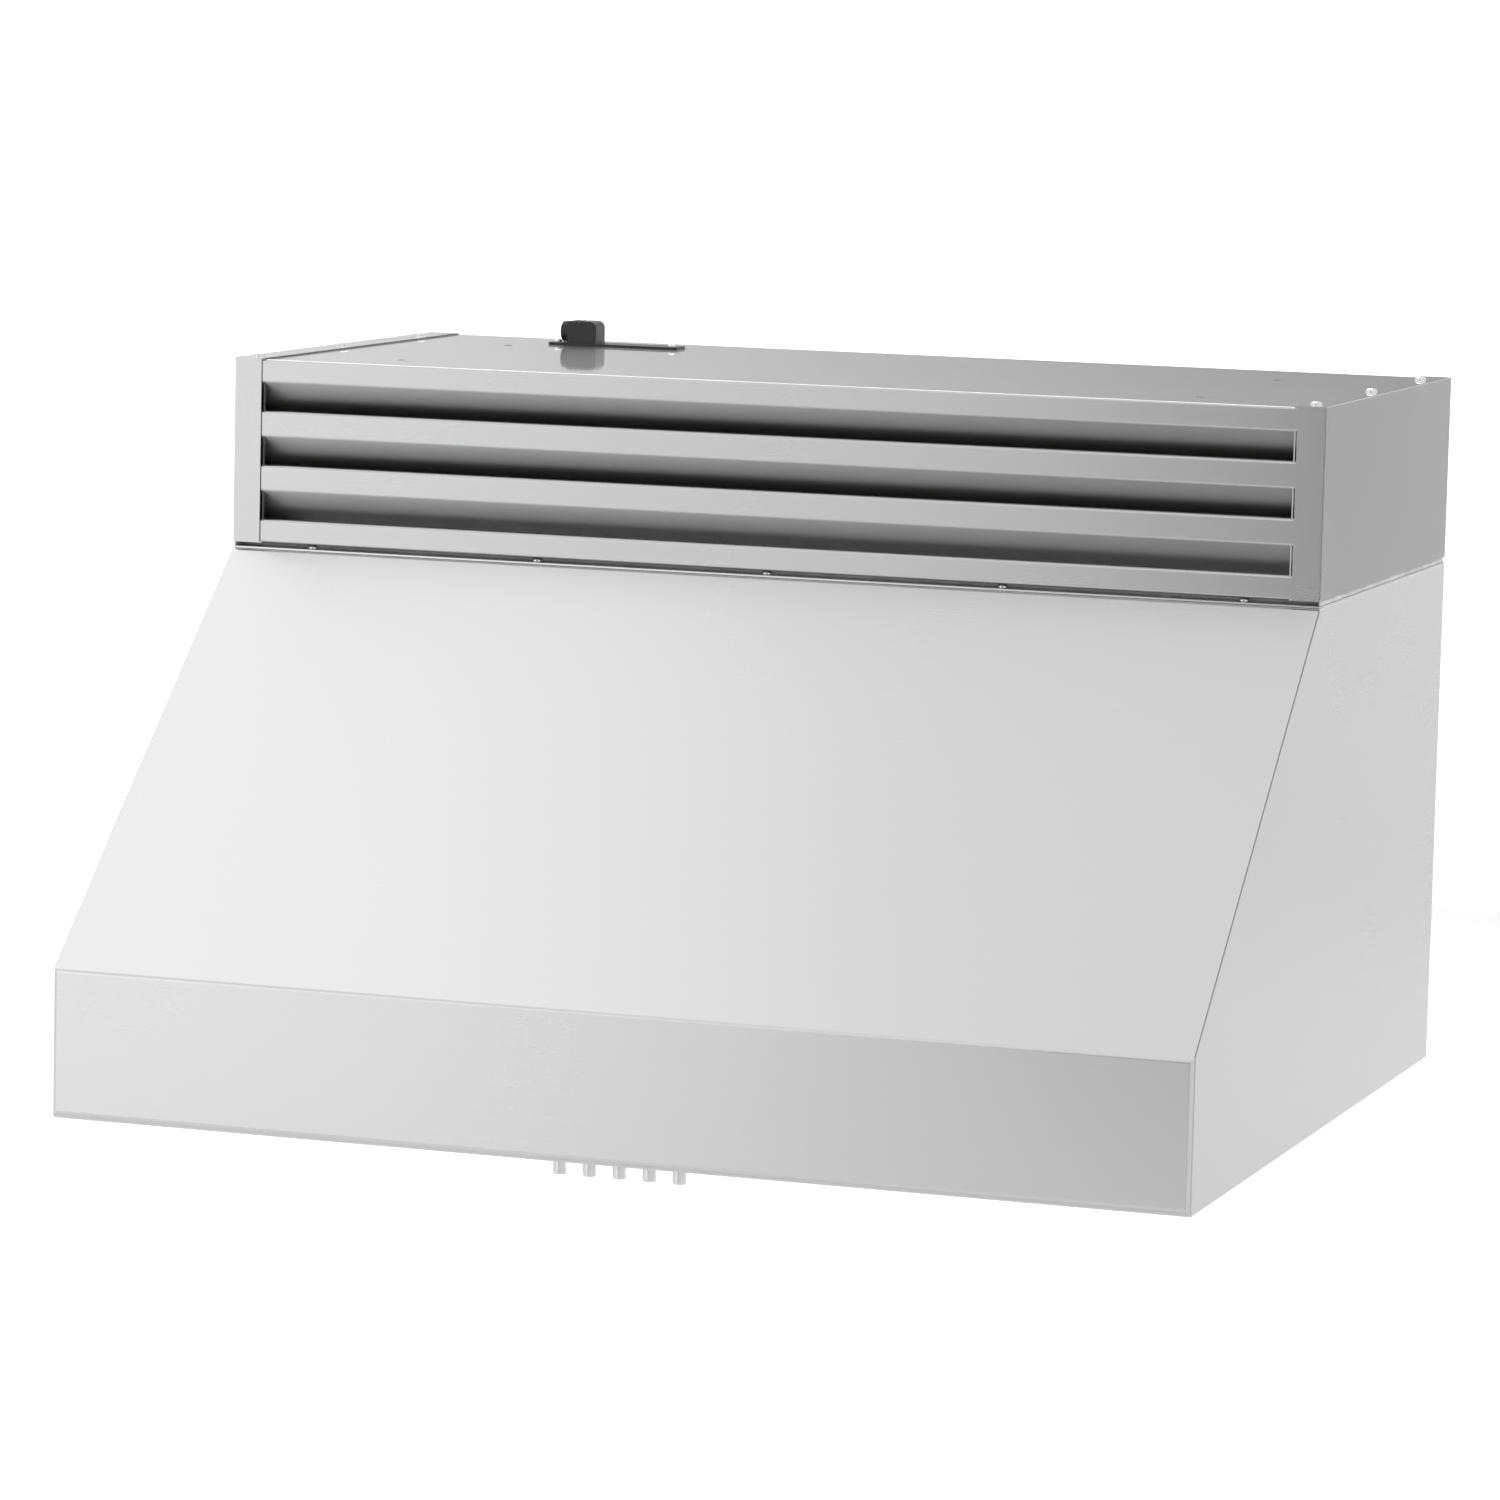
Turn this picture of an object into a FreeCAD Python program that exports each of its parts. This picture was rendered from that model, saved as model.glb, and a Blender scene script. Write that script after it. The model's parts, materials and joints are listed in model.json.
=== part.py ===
import FreeCAD, Part
import math
import os

# Under-cabinet range hood with a louvred recirculating box on its top.
# Millimetres.  X to the right, Y towards the wall, Z up.  While it is built, Y = 0 is the wall
# plane and Z = 0 the canopy's lower edge.  On export the model drops by wall_screw_z, so that
# its origin is the middle of the two wall screws.

# ---- driving dimensions ----
width = 757.0
depth_bottom = 635.0
depth_top = 356.0
lip_height = 97.0
canopy_height = 348.0
sheet = 1.2
wall_screw_z = 300.0
wall_screw_spacing = 406.4
mount_hole_r = 3.2

kit_gap = 3.0
kit_height = 125.0
kit_sheet = 1.0
kit_flange = 22.0
face_height = 16.0
slat_height = 17.0
slat_return = 8.0
blade_reach = 19.0
blade_drop = 23.0
slat_bend_r = 3.0
cabinet_hole_x = 280.0
cabinet_hole_y = (-300.0, -100.0)

return_depth = 95.0
lip_bend_r = 6.0
rear_bend_r = 8.0
flange = 20.0
front_flange = 25.0
side_hem = 9.0
return_upstand = 14.0
rear_clearance = 27.0
fold_bend_r = 3.0
top_bend_r = 2.5
small_bend_r = 2.0

button_pitch = 20.0
button_count = 5
button_r = 4.75
button_drop = 10.6
button_setback = 22.0
button_row_x = 3.0
button_shoulder = 2.8
button_travel = 3.0
running_gap = 0.06

lamp_x = 230.0
lamp_setback = 52.0
lamp_r = 25.0

filter_width = 354.0
filter_length = 450.0
filter_thick = 12.0
filter_border = 14.0
filter_sheet = 1.0
filter_tilt = 5.0
hinge_y = -70.0
hinge_z = 34.0
hinge_inset = 8.0
pivot_r = 3.0
divider_half = 8.0
baffle_pitch = 40.0
baffle_count = 8

blower_y = -165.0
blower_z = 210.0
scroll_near_x = 52.0
scroll_far_x = 142.0
scroll_start_r = 84.0
scroll_end_r = 115.0
impeller_r = 74.0
inlet_r = 62.0
shaft_r = 6.0
blade_total = 24
motor_r = 46.0

collar_half_x = 150.0
collar_y = (-170.0, -45.0)
collar_height = 50.0
damper_z = 362.0
damper_pin_y = (-111.0, -104.0)
damper_pin_r = 2.0

gland_x = -213.5
gland_y = -59.0
gland_plate_size = (97.0, 22.0, 1.8)
gland_screw_inset = (4.0, 7.0)
grip_x = (-248.0, -226.0)
grip_depth = 18.0
grip_height = 15.5
cord_bore_r = 4.2
cord_bore_length = 20.0
lead_x = -240.0

# ---- derived dimensions ----
half = width / 2
inner_half = half - sheet
deck_under = canopy_height - sheet
return_rear_y = return_depth - depth_bottom
kit_low = canopy_height + kit_gap
kit_high = kit_low + kit_height
kit_top_z = kit_high - kit_sheet
kit_inner_half = half - kit_sheet
slot_height = (kit_height - 2 * face_height - 2 * slat_height) / 3
post_inner_x = half - kit_flange
slat_face_y = kit_sheet - depth_top
button_y = button_setback - depth_bottom
lamp_y = lamp_setback - depth_bottom
gland_screw_x = (gland_x - gland_plate_size[0] / 2 + gland_screw_inset[0],
                 gland_x + gland_plate_size[0] / 2 - gland_screw_inset[1])


# ---- geometry helpers ----
tiny = 0.01
head_dome = 0.55


def vec(x, y, z=0.0):
    return FreeCAD.Vector(x, y, z)


def block(x, y, z):
    """A box from a (low, high) pair on each axis."""
    size = (x[1] - x[0], y[1] - y[0], z[1] - z[0])
    return Part.makeBox(*size, vec(x[0], y[0], z[0]))


def place(axis, a, b, level):
    """A point of a flat outline: a and b are the two axes left, in X, Y, Z order."""
    if axis == "x":
        return vec(level, a, b)
    if axis == "y":
        return vec(a, level, b)
    return vec(a, b, level)


def along(axis, length):
    return {"x": vec(length, 0), "y": vec(0, length), "z": vec(0, 0, length)}[axis]


def rod(axis, centre, radius, low, high):
    """A cylinder along an axis; centre gives the other two coordinates."""
    start = place(axis, centre[0], centre[1], low)
    return Part.makeCylinder(radius, high - low, start, along(axis, 1))


def ring(axis, centre, outer, inner, low, high):
    return rod(axis, centre, outer, low, high).cut(rod(axis, centre, inner, low - 1, high + 1))


def corner(before, point, after, radius):
    """The start, middle and end of the arc that rounds a corner."""
    back = (before - point).normalize()
    ahead = (after - point).normalize()
    turn = back.getAngle(ahead) / 2
    bisector = (back + ahead).normalize()
    reach = radius / math.tan(turn)
    middle = point + bisector * (radius / math.sin(turn) - radius)
    return point + back * reach, middle, point + ahead * reach


def outline(points, radii, axis, level):
    """A closed wire of straight runs with rounded corners."""
    spots = [vec(a, b) for a, b in points]
    arcs = []
    for index, radius in enumerate(radii):
        spot = spots[index]
        if radius > 0:
            arcs.append(corner(spots[index - 1], spot, spots[(index + 1) % len(spots)], radius))
        else:
            arcs.append((spot, None, spot))
    edges = []
    for index, (first, middle, last) in enumerate(arcs):
        here = [place(axis, p.x, p.y, level) for p in (first, last)]
        if middle is not None:
            edges.append(Part.Arc(here[0], place(axis, middle.x, middle.y, level), here[1]).toShape())
        following = arcs[(index + 1) % len(arcs)][0]
        edges.append(Part.makeLine(here[1], place(axis, following.x, following.y, level)))
    return Part.Wire(edges)


def prism(points, radii, axis, low, high):
    return Part.Face(outline(points, radii, axis, low)).extrude(along(axis, high - low))


def folded(path, bends, thick, side, axis, low, high):
    """Bent sheet: its outer line, outer bend radii, and the side (1 left, -1 right) it thickens to."""
    spots = [vec(a, b) for a, b in path]
    ways = [(b - a).normalize() for a, b in zip(spots, spots[1:])]
    lefts = [vec(-way.y, way.x) * side for way in ways]
    inner = [spots[0] + lefts[0] * thick]
    inner_bends = [0.0]
    for index in range(1, len(spots) - 1):
        bisector = (lefts[index - 1] + lefts[index]).normalize()
        inner.append(spots[index] + bisector * (thick / bisector.dot(lefts[index])))
        turn = ways[index - 1].cross(ways[index]).z * side
        inner_bends.append(bends[index] - thick if turn > 0 else bends[index] + thick)
    inner.append(spots[-1] + lefts[-1] * thick)
    inner_bends.append(0.0)
    points = path + [(p.x, p.y) for p in reversed(inner)]
    radii = bends + [max(0.0, r) for r in reversed(inner_bends)]
    return prism(points, radii, axis, low, high)


def fused(shapes):
    result = shapes[0]
    for shape in shapes[1:]:
        result = result.fuse(shape)
    return result.removeSplitter()


def drilled(shape, axis, centres, radius, low, high):
    for centre in centres:
        shape = shape.cut(rod(axis, centre, radius, low, high))
    return shape


def mirrored(shape):
    return shape.mirror(vec(0, 0), vec(1, 0))


def rounded_along_x(shape, y, z, radius):
    """Rounds the edge that runs along X at the given Y and Z."""
    tests = [abs(e.BoundBox.YMin - y) + abs(e.BoundBox.YMax - y) + abs(e.BoundBox.ZMin - z)
             + abs(e.BoundBox.ZMax - z) for e in shape.Edges]
    return shape.makeFillet(radius, [e for e, miss in zip(shape.Edges, tests) if miss < tiny])


def pan_screw(x, y, z, head_r, head_height, shank_r, length):
    """A pan-head screw standing on a surface at z, its shank going down through it."""
    head = rod("z", (x, y), head_r, z, z + head_height)
    rim = [e for e in head.Edges if e.BoundBox.ZMin > z + head_height - tiny]
    head = head.makeFillet(head_dome * head_height, rim)
    return fused([head, rod("z", (x, y), shank_r, z - length, z)])


def export(name, shape):
    shape = shape.copy()
    shape.translate(vec(0, 0, -wall_screw_z))
    shape.exportStep("parts/" + name + ".step")


# ---- canopy ----
deck_screw_r = 1.9
deck_screw_length = 9.0
deck_head_r = 3.75
deck_head_height = 2.6
deck_hole_r = 2.1
conduit_hole_r = 9.5
front_screw_pitch = width / 4.66
front_screw_y = -343.0
rear_screw_x = 325.0
rear_screw_y = -12.0
deck_screws_front = [(step * front_screw_pitch, front_screw_y) for step in (-2, -1, 0, 1, 2)]
deck_screws_rear = [(x, rear_screw_y) for x in (-rear_screw_x, 0.0, rear_screw_x)]
deck_screw_spots = deck_screws_front + deck_screws_rear
front_line = [(return_rear_y, return_upstand), (return_rear_y, 0.0), (-depth_bottom, 0.0),
              (-depth_bottom, lip_height), (-depth_top, deck_under), (front_flange - depth_top, deck_under)]
front_bends = [0.0, small_bend_r, lip_bend_r, fold_bend_r, top_bend_r, 0.0]
button_spots = [(button_row_x + (i - (button_count - 1) / 2) * button_pitch, button_y)
                for i in range(button_count)]
bezel_neck_r = 5.9
bezel_play = 0.1
lamp_play = 0.3
lamp_spots = [(-lamp_x, lamp_y), (lamp_x, lamp_y)]


def canopy_front():
    skin = folded(front_line, front_bends, sheet, -1, "x", -inner_half, inner_half)
    skin = drilled(skin, "z", button_spots, bezel_neck_r + bezel_play, -1, 3)
    skin = drilled(skin, "z", lamp_spots, lamp_r + lamp_play, -1, 3)
    return drilled(skin, "z", deck_screws_front, deck_hole_r, deck_under - 3, deck_under + 1)


def canopy_side():
    line = [(half - side_hem, 0.0), (half, 0.0), (half, deck_under), (half - flange, deck_under)]
    channel = folded(line, [0.0, sheet, sheet, 0.0], sheet, 1, "y", -depth_bottom, 0.0)
    profile = prism([(0.0, 0.0), (-depth_bottom, 0.0), (-depth_bottom, lip_height),
                     (-depth_top, deck_under), (0.0, deck_under)],
                    [rear_bend_r, lip_bend_r, fold_bend_r, top_bend_r, 0.0], "x", 0.0, half + 1)
    side = channel.common(profile)
    inside = (0.0, inner_half)
    room = (-1.0, canopy_height)
    clear_of_front = small_bend_r + front_flange - depth_top
    side = side.cut(block(inside, (-depth_bottom - 1, return_rear_y + 2 * small_bend_r), room))
    side = side.cut(block(inside, (-depth_bottom - 1, clear_of_front), (lip_height, canopy_height)))
    return side.cut(block(inside, (-rear_clearance, 1.0), room))


def canopy_back():
    low_flange = rear_clearance - small_bend_r
    line = [(-low_flange, 0.0), (0.0, 0.0), (0.0, deck_under), (-flange - small_bend_r, deck_under)]
    back = folded(line, [0.0, rear_bend_r, small_bend_r, 0.0], sheet, 1, "x", -inner_half, inner_half)
    screws = [(side * wall_screw_spacing / 2, wall_screw_z) for side in (-1, 1)]
    back = drilled(back, "y", screws, mount_hole_r, -5, 1)
    return drilled(back, "z", deck_screws_rear, deck_hole_r, deck_under - 3, deck_under + 1)


def canopy_deck():
    deck = prism([(-half, 0.0), (-half, 1 - depth_top), (half, 1 - depth_top), (half, 0.0)],
                 [small_bend_r] * 4, "z", deck_under, canopy_height)
    for near, far in ((scroll_near_x, scroll_far_x), (-scroll_far_x, -scroll_near_x)):
        mouth = block((near + sheet, far - sheet), scroll_mouth_y(sheet), (deck_under - 1, canopy_height + 1))
        deck = deck.cut(mouth)
    deck = drilled(deck, "z", deck_screw_spots, deck_hole_r, deck_under - 1, canopy_height + 1)
    return drilled(deck, "z", [(lead_x, gland_y)], conduit_hole_r, deck_under - 1, canopy_height + 1)


def deck_screws():
    return Part.makeCompound([pan_screw(x, y, canopy_height, deck_head_r, deck_head_height, deck_screw_r,
                                        deck_screw_length) for x, y in deck_screw_spots])


# ---- controls and lamps ----
stem_r = 1.94
stem_top = 8.0
cap_round = 1.0
bezel_lip_r = 7.0
bezel_lip_drop = 1.4
bezel_lip_round = 0.8
bezel_neck_top = 5.0
bezel_nut_r = 8.0
bezel_nut_top = 3.4
switch_low = button_shoulder + button_travel + 0.2
switch_top = 22.0
switch_half = (8.0, 9.0)
tab_x = 4.5
tab_size = (1.0, 3.0, 7.0)
cover_high = 36.0
cover_wall = 1.0
cover_x = 22.0
cover_y = (button_y - 11.0, button_y + 27.0)
lamp_flange = 6.0
lamp_neck_wall = 1.4
lamp_neck_top = 14.0
lamp_flange_round = 0.9
lens_z = (-0.8, 2.0)
heatsink_disc = 1.5
heatsink_pitch = 3.0
heatsink_low = 10.0
heatsink_core_r = 14.0
heatsink_top = 23.5


def button():
    """The push button at x = 0: cap, shoulder and the stem that works the switch."""
    cap = rod("z", (0, button_y), button_r, -button_drop, button_shoulder)
    rim = [e for e in cap.Edges if e.BoundBox.ZMax < tiny - button_drop]
    cap = cap.makeFillet(cap_round, rim)
    return fused([cap, rod("z", (0, button_y), stem_r, 2.0, stem_top)])


def button_bezels():
    bezels = []
    for x, y in button_spots:
        lip = rod("z", (x, y), bezel_lip_r, -bezel_lip_drop, 0.0)
        lip = lip.makeFillet(bezel_lip_round, [e for e in lip.Edges if e.BoundBox.ZMax < tiny - bezel_lip_drop])
        neck = rod("z", (x, y), bezel_neck_r, -0.5, bezel_neck_top)
        nut = rod("z", (x, y), bezel_nut_r, sheet, bezel_nut_top)
        hole = rod("z", (x, y), button_r + running_gap, -3, bezel_neck_top + 2)
        bezels.append(fused([lip, neck, nut]).cut(hole))
    return Part.makeCompound(bezels)


def switch_bodies():
    wide, deep = switch_half
    thick, tall, high = tab_size
    bodies = []
    for x, y in button_spots:
        case = block((x - wide, x + wide), (y - deep, y + deep), (switch_low, switch_top))
        case = case.cut(rod("z", (x, y), stem_r + running_gap, switch_low - 1, stem_top + button_travel + 1))
        tabs = [block((x + dx - thick, x + dx + thick), (y - tall, y + tall), (switch_top - 1, switch_top + high))
                for dx in (-tab_x, tab_x)]
        bodies.append(fused([case] + tabs))
    return Part.makeCompound(bodies)


def switch_cover():
    low = button_spots[0][0] - cover_x
    high = button_spots[-1][0] + cover_x
    outer = block((low, high), cover_y, (sheet, cover_high))
    inner = block((low + cover_wall, high - cover_wall), (cover_y[0] + cover_wall, cover_y[1] - cover_wall),
                  (0.0, cover_high - cover_wall))
    return outer.cut(inner)


def lamp_bezel(x):
    flange_ring = ring("z", (x, lamp_y), lamp_r + lamp_flange, lamp_r - 2, -bezel_lip_drop, 0.0)
    rim = [e for e in flange_ring.Edges
           if e.BoundBox.ZMax < tiny - bezel_lip_drop and e.BoundBox.XLength > 2 * lamp_r]
    flange_ring = flange_ring.makeFillet(lamp_flange_round, rim)
    return fused([flange_ring, ring("z", (x, lamp_y), lamp_r, lamp_r - lamp_neck_wall, -0.5, lamp_neck_top)])


def lamp_lenses():
    return Part.makeCompound([rod("z", spot, lamp_r - 2.1, *lens_z) for spot in lamp_spots])


def lamp_bodies():
    """The turned heat sinks: a base on the lens, a core and four discs."""
    bodies = []
    for spot in lamp_spots:
        parts = [rod("z", spot, lamp_r - heatsink_disc, lens_z[1] + 0.1, heatsink_low),
                 rod("z", spot, heatsink_core_r, heatsink_low - 1, heatsink_top)]
        for order in range(4):
            low = heatsink_low + heatsink_disc + heatsink_pitch * order
            parts.append(rod("z", spot, lamp_r - 2 * heatsink_disc, low, low + heatsink_disc))
        bodies.append(fused(parts))
    return Part.makeCompound(bodies)


# ---- grease filters ----
# Each filter is drawn level with its hinge at the origin, then tilted and moved to its hinge.
filter_front = -filter_length
filter_side_gap = 4.0
filter_x = divider_half + filter_side_gap + filter_width / 2
outer_pin_reach = 5.0
inner_pin_reach = 3.4
baffle_sheet = 0.8
baffle_bend_r = 1.4
trough_half = 14.0
roof_half = 10.0
handle_half = 32.0
handle_drop = 20.0
handle_bend = 7.0
handle_wire_r = 2.5
rail_top = 92.0
rail_lap = 1.4
rail_flange = 24.0
bar_depth = 8.0
pivot_block = 8.0


def on_hinge(shape, x):
    shape = shape.copy()
    shape.rotate(vec(0, 0), vec(1, 0), -filter_tilt)
    shape.translate(vec(x, hinge_y, hinge_z))
    return shape


def filter_frame(x):
    wide = filter_width / 2
    tall = filter_thick / 2
    edge = filter_border
    frame = block((-wide, wide), (filter_front, hinge_inset), (-tall, tall))
    window = block((edge - wide, wide - edge), (filter_front + edge, hinge_inset - edge), (-tall - 1, tall + 1))
    pocket = block((filter_sheet - wide, wide - filter_sheet),
                   (filter_front + filter_sheet, hinge_inset - filter_sheet),
                   (filter_sheet - tall, tall - filter_sheet))
    pins = [rod("x", (0, 0), pivot_r, -wide - inner_pin_reach, -wide + 0.5),
            rod("x", (0, 0), pivot_r, wide - 0.5, wide + outer_pin_reach)]
    if x < 0:
        pins = [mirrored(pin) for pin in pins]
    return on_hinge(fused([frame.cut(window).cut(pocket)] + pins), x)


def filter_baffles(x):
    tall = filter_thick / 2 - filter_sheet
    reach = (filter_front + 5.0, hinge_inset - 5.0)
    baffle_bends = [0.0, baffle_bend_r, baffle_bend_r, 0.0]
    channels = []
    for index in range(baffle_count):
        middle = (index - (baffle_count - 1) / 2) * baffle_pitch
        trough = [(middle - trough_half, -baffle_sheet), (middle - trough_half, -tall),
                  (middle + trough_half, -tall), (middle + trough_half, -baffle_sheet)]
        channels.append(folded(trough, baffle_bends, baffle_sheet, 1, "y", *reach))
        if index < baffle_count - 1:
            gap = middle + baffle_pitch / 2
            roof = [(gap - roof_half, baffle_sheet), (gap - roof_half, tall), (gap + roof_half, tall),
                    (gap + roof_half, baffle_sheet)]
            channels.append(folded(roof, baffle_bends, baffle_sheet, -1, "y", *reach))
    return on_hinge(Part.makeCompound(channels), x)


def filter_handle(x):
    """A bent wire pull under the filter's front border."""
    y = filter_front + filter_border / 2
    top = -filter_thick / 2
    low = top - handle_drop
    wide = handle_half
    lean = handle_bend * (1 - math.sqrt(0.5))
    spots = [vec(-wide, y, top), vec(-wide, y, low + handle_bend), vec(-wide + lean, y, low + lean),
             vec(-wide + handle_bend, y, low), vec(wide - handle_bend, y, low), vec(wide - lean, y, low + lean),
             vec(wide, y, low + handle_bend), vec(wide, y, top)]
    path = Part.Wire([Part.makeLine(spots[0], spots[1]), Part.Arc(*spots[1:4]).toShape(),
                      Part.makeLine(spots[3], spots[4]), Part.Arc(*spots[4:7]).toShape(),
                      Part.makeLine(spots[6], spots[7])])
    section = Part.Wire([Part.Circle(spots[0], vec(0, 0, 1), handle_wire_r).toShape()])
    return on_hinge(path.makePipeShell([section], True, False), x)


def filter_rail_front():
    line = [(return_rear_y, rail_lap), (return_rear_y, rail_top), (return_rear_y + rail_flange, rail_top)]
    return folded(line, [0.0, small_bend_r, 0.0], sheet, -1, "x", -inner_half, inner_half)


def filter_divider():
    """The bar between the filters; its rear block carries both inner pivots."""
    low = filter_thick / 2 + baffle_sheet
    high = low + bar_depth
    bar = [(-divider_half, low), (-divider_half, high), (divider_half, high), (divider_half, low)]
    rail = folded(bar, [0.0, small_bend_r, small_bend_r, 0.0], sheet, -1, "y", filter_front - 9, hinge_inset)
    rail.rotate(vec(0, 0), vec(1, 0), -filter_tilt)
    rail.translate(vec(0, hinge_y, hinge_z))
    hanger = block((-divider_half, divider_half), (hinge_y - pivot_block, hinge_y + pivot_block),
                   (hinge_z - pivot_block, hinge_z + 1.5 * pivot_block))
    hanger = hanger.cut(rod("x", (hinge_y, hinge_z), pivot_r + running_gap, -20, 20))
    return fused([rail, hanger])


def filter_pivots():
    """The two outer pivot blocks, against the side panels."""
    near = divider_half + filter_side_gap + filter_width + 2
    ear = block((near, inner_half), (hinge_y - pivot_block, hinge_y + pivot_block),
                (hinge_z - pivot_block, hinge_z + pivot_block))
    ear = ear.cut(rod("x", (hinge_y, hinge_z), pivot_r + running_gap, near - 1, near + 6))
    return Part.makeCompound([ear, mirrored(ear)])


# ---- grease tray ----
tray_half = 345.0
tray_y = (-66.0, -36.0)
tray_z = (4.0, 22.0)
tray_wall = 1.0
tray_lip = 8.0
bracket_z = (26.0, 50.0)
magnet_half = 15.0
magnet_x = 220.0


def grease_tray():
    wall = tray_wall
    outer = block((-tray_half, tray_half), tray_y, tray_z)
    inner = block((wall - tray_half, tray_half - wall), (tray_y[0] + wall, tray_y[1] - wall),
                  (tray_z[0] + wall, tray_z[1] + wall))
    rim = block((-tray_half, tray_half), (tray_y[1] - wall, tray_y[1] + tray_lip), (tray_z[1] - wall, tray_z[1]))
    return fused([outer.cut(inner), rim])


def tray_bracket():
    line = [(-sheet, bracket_z[1]), (-sheet, bracket_z[0]), (tray_y[1] + tray_wall, bracket_z[0])]
    return folded(line, [0.0, top_bend_r, 0.0], sheet, -1, "x", -tray_half, tray_half)


def tray_magnets():
    """Three magnets under the bracket that hold the tray up by its steel rim."""
    y = (tray_y[1] + tray_wall, tray_y[1] + tray_lip)
    z = (tray_z[1] + 0.4, bracket_z[0] - sheet)
    return Part.makeCompound([block((x - magnet_half, x + magnet_half), y, z) for x in (-magnet_x, 0.0, magnet_x)])


# ---- blower ----
scroll_turn = 270
scroll_steps = 18
motor_opening_r = 30.0
inlet_lap = 4.3
inlet_flange = 12.0
inlet_neck = 7.0
inlet_sheet = 1.5
wheel_gap = (8.0, 10.0)
wheel_disc = 1.5
hub_r = 14.0
hub_length = 24.0
blade_half = 0.5
blade_angle = 32
bore_play = 0.02
shaft_reach = scroll_near_x + 30
motor_steps = ((motor_r, 38.0), (34.0, 44.0), (16.0, 48.0))
band_half = 14.0
band_thick = 1.5
bracket_foot = 22.0
capacitor_spot = (-78.0, 316.0)
capacitor_r = 16.0
capacitor_half = 32.0
strap_half = (8.0, 2.0)


def scroll_mouth_y(inset):
    return (blower_y + inset, blower_y + scroll_end_r - inset)


def scroll_outline(inset, top, x):
    """The spiral, from its tongue over the front and under the wheel, then straight up behind."""
    curve = []
    for step in range(scroll_steps + 1):
        part = step / scroll_steps
        angle = math.radians(scroll_turn) * part
        radius = scroll_start_r - inset + (scroll_end_r - scroll_start_r) * part
        curve.append(vec(x, blower_y - radius * math.sin(angle), blower_z + radius * math.cos(angle)))
    spline = Part.BSplineCurve()
    spline.interpolate(curve)
    front, rear = scroll_mouth_y(inset)
    corners = [curve[-1], vec(x, rear, top), vec(x, front, top), vec(x, front, curve[0].z)]
    edges = [spline.toShape()] + [Part.makeLine(a, b) for a, b in zip(corners, corners[1:])]
    if (corners[-1] - curve[0]).Length > tiny:
        edges.append(Part.makeLine(corners[-1], curve[0]))
    return Part.Wire(edges)


def scroll_right():
    wide = scroll_far_x - scroll_near_x
    centre = (blower_y, blower_z)
    case = Part.Face(scroll_outline(0.0, deck_under, scroll_near_x)).extrude(vec(wide, 0))
    room = Part.Face(scroll_outline(sheet, canopy_height, scroll_near_x + sheet))
    case = case.cut(room.extrude(vec(wide - 2 * sheet, 0)))
    case = case.cut(rod("x", centre, motor_opening_r, scroll_near_x - 1, scroll_near_x + 3))
    return case.cut(rod("x", centre, inlet_r + inlet_lap, scroll_far_x - 3, scroll_far_x + 1))


def inlet_rings():
    centre = (blower_y, blower_z)
    collar = ring("x", centre, inlet_r + inlet_flange, inlet_r, scroll_far_x, scroll_far_x + inlet_sheet)
    neck = ring("x", centre, inlet_r + 4, inlet_r, scroll_far_x - inlet_neck, scroll_far_x + 0.5)
    bell = fused([collar, neck])
    return Part.makeCompound([bell, mirrored(bell)])


def impeller_right():
    centre = (blower_y, blower_z)
    low = scroll_near_x + wheel_gap[0]
    high = scroll_far_x - wheel_gap[1]
    parts = [rod("x", centre, impeller_r, low, low + wheel_disc),
             ring("x", centre, impeller_r, inlet_r, high - wheel_disc, high),
             rod("x", centre, hub_r, low, low + hub_length)]
    blade = block((low + 1, high - 1), (-blade_half, blade_half), (inlet_r - 3, impeller_r))
    blade.rotate(vec(0, 0, impeller_r), vec(1, 0), blade_angle)
    for index in range(blade_total):
        turned = blade.copy()
        turned.rotate(vec(0, 0), vec(1, 0), index * 360 / blade_total)
        turned.translate(vec(0, *centre))
        parts.append(turned.common(rod("x", centre, impeller_r, low, high)))
    return fused(parts).cut(rod("x", centre, shaft_r + bore_play, low - 1, high + 1))


def motor_shaft():
    return rod("x", (blower_y, blower_z), shaft_r, -shaft_reach, shaft_reach)


def motor_body():
    centre = (blower_y, blower_z)
    case = fused([rod("x", centre, radius, -reach, reach) for radius, reach in motor_steps])
    return case.cut(rod("x", centre, shaft_r + running_gap, -60, 60))


def motor_bracket():
    centre = (blower_y, blower_z)
    reach = motor_r + band_thick
    wide = (-band_half, band_half)
    parts = [ring("x", centre, reach, motor_r, *wide)]
    for side in (-1, 1):
        leg = sorted((blower_y + side * (reach - 1.2), blower_y + side * (reach + 0.3)))
        foot = sorted((blower_y + side * (reach - 1.2), blower_y + side * (reach + bracket_foot)))
        parts.append(block(wide, leg, (blower_z, deck_under)))
        parts.append(block(wide, foot, (deck_under - band_thick, deck_under)))
    return fused(parts).cut(rod("x", centre, motor_r, -20, 20))


def capacitor():
    y, z = capacitor_spot
    strap = block((-strap_half[0], strap_half[0]), (y - strap_half[1], y + strap_half[1]), (z + 10, deck_under))
    return fused([rod("x", capacitor_spot, capacitor_r, -capacitor_half, capacitor_half), strap])


# ---- outlet collar and backdraught damper ----
collar_wall = 1.2
collar_foot = 12.0
damper_stop = 6.0
flap_half = 0.4
damper_open_x = collar_half_x - collar_wall - 1.0


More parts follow.
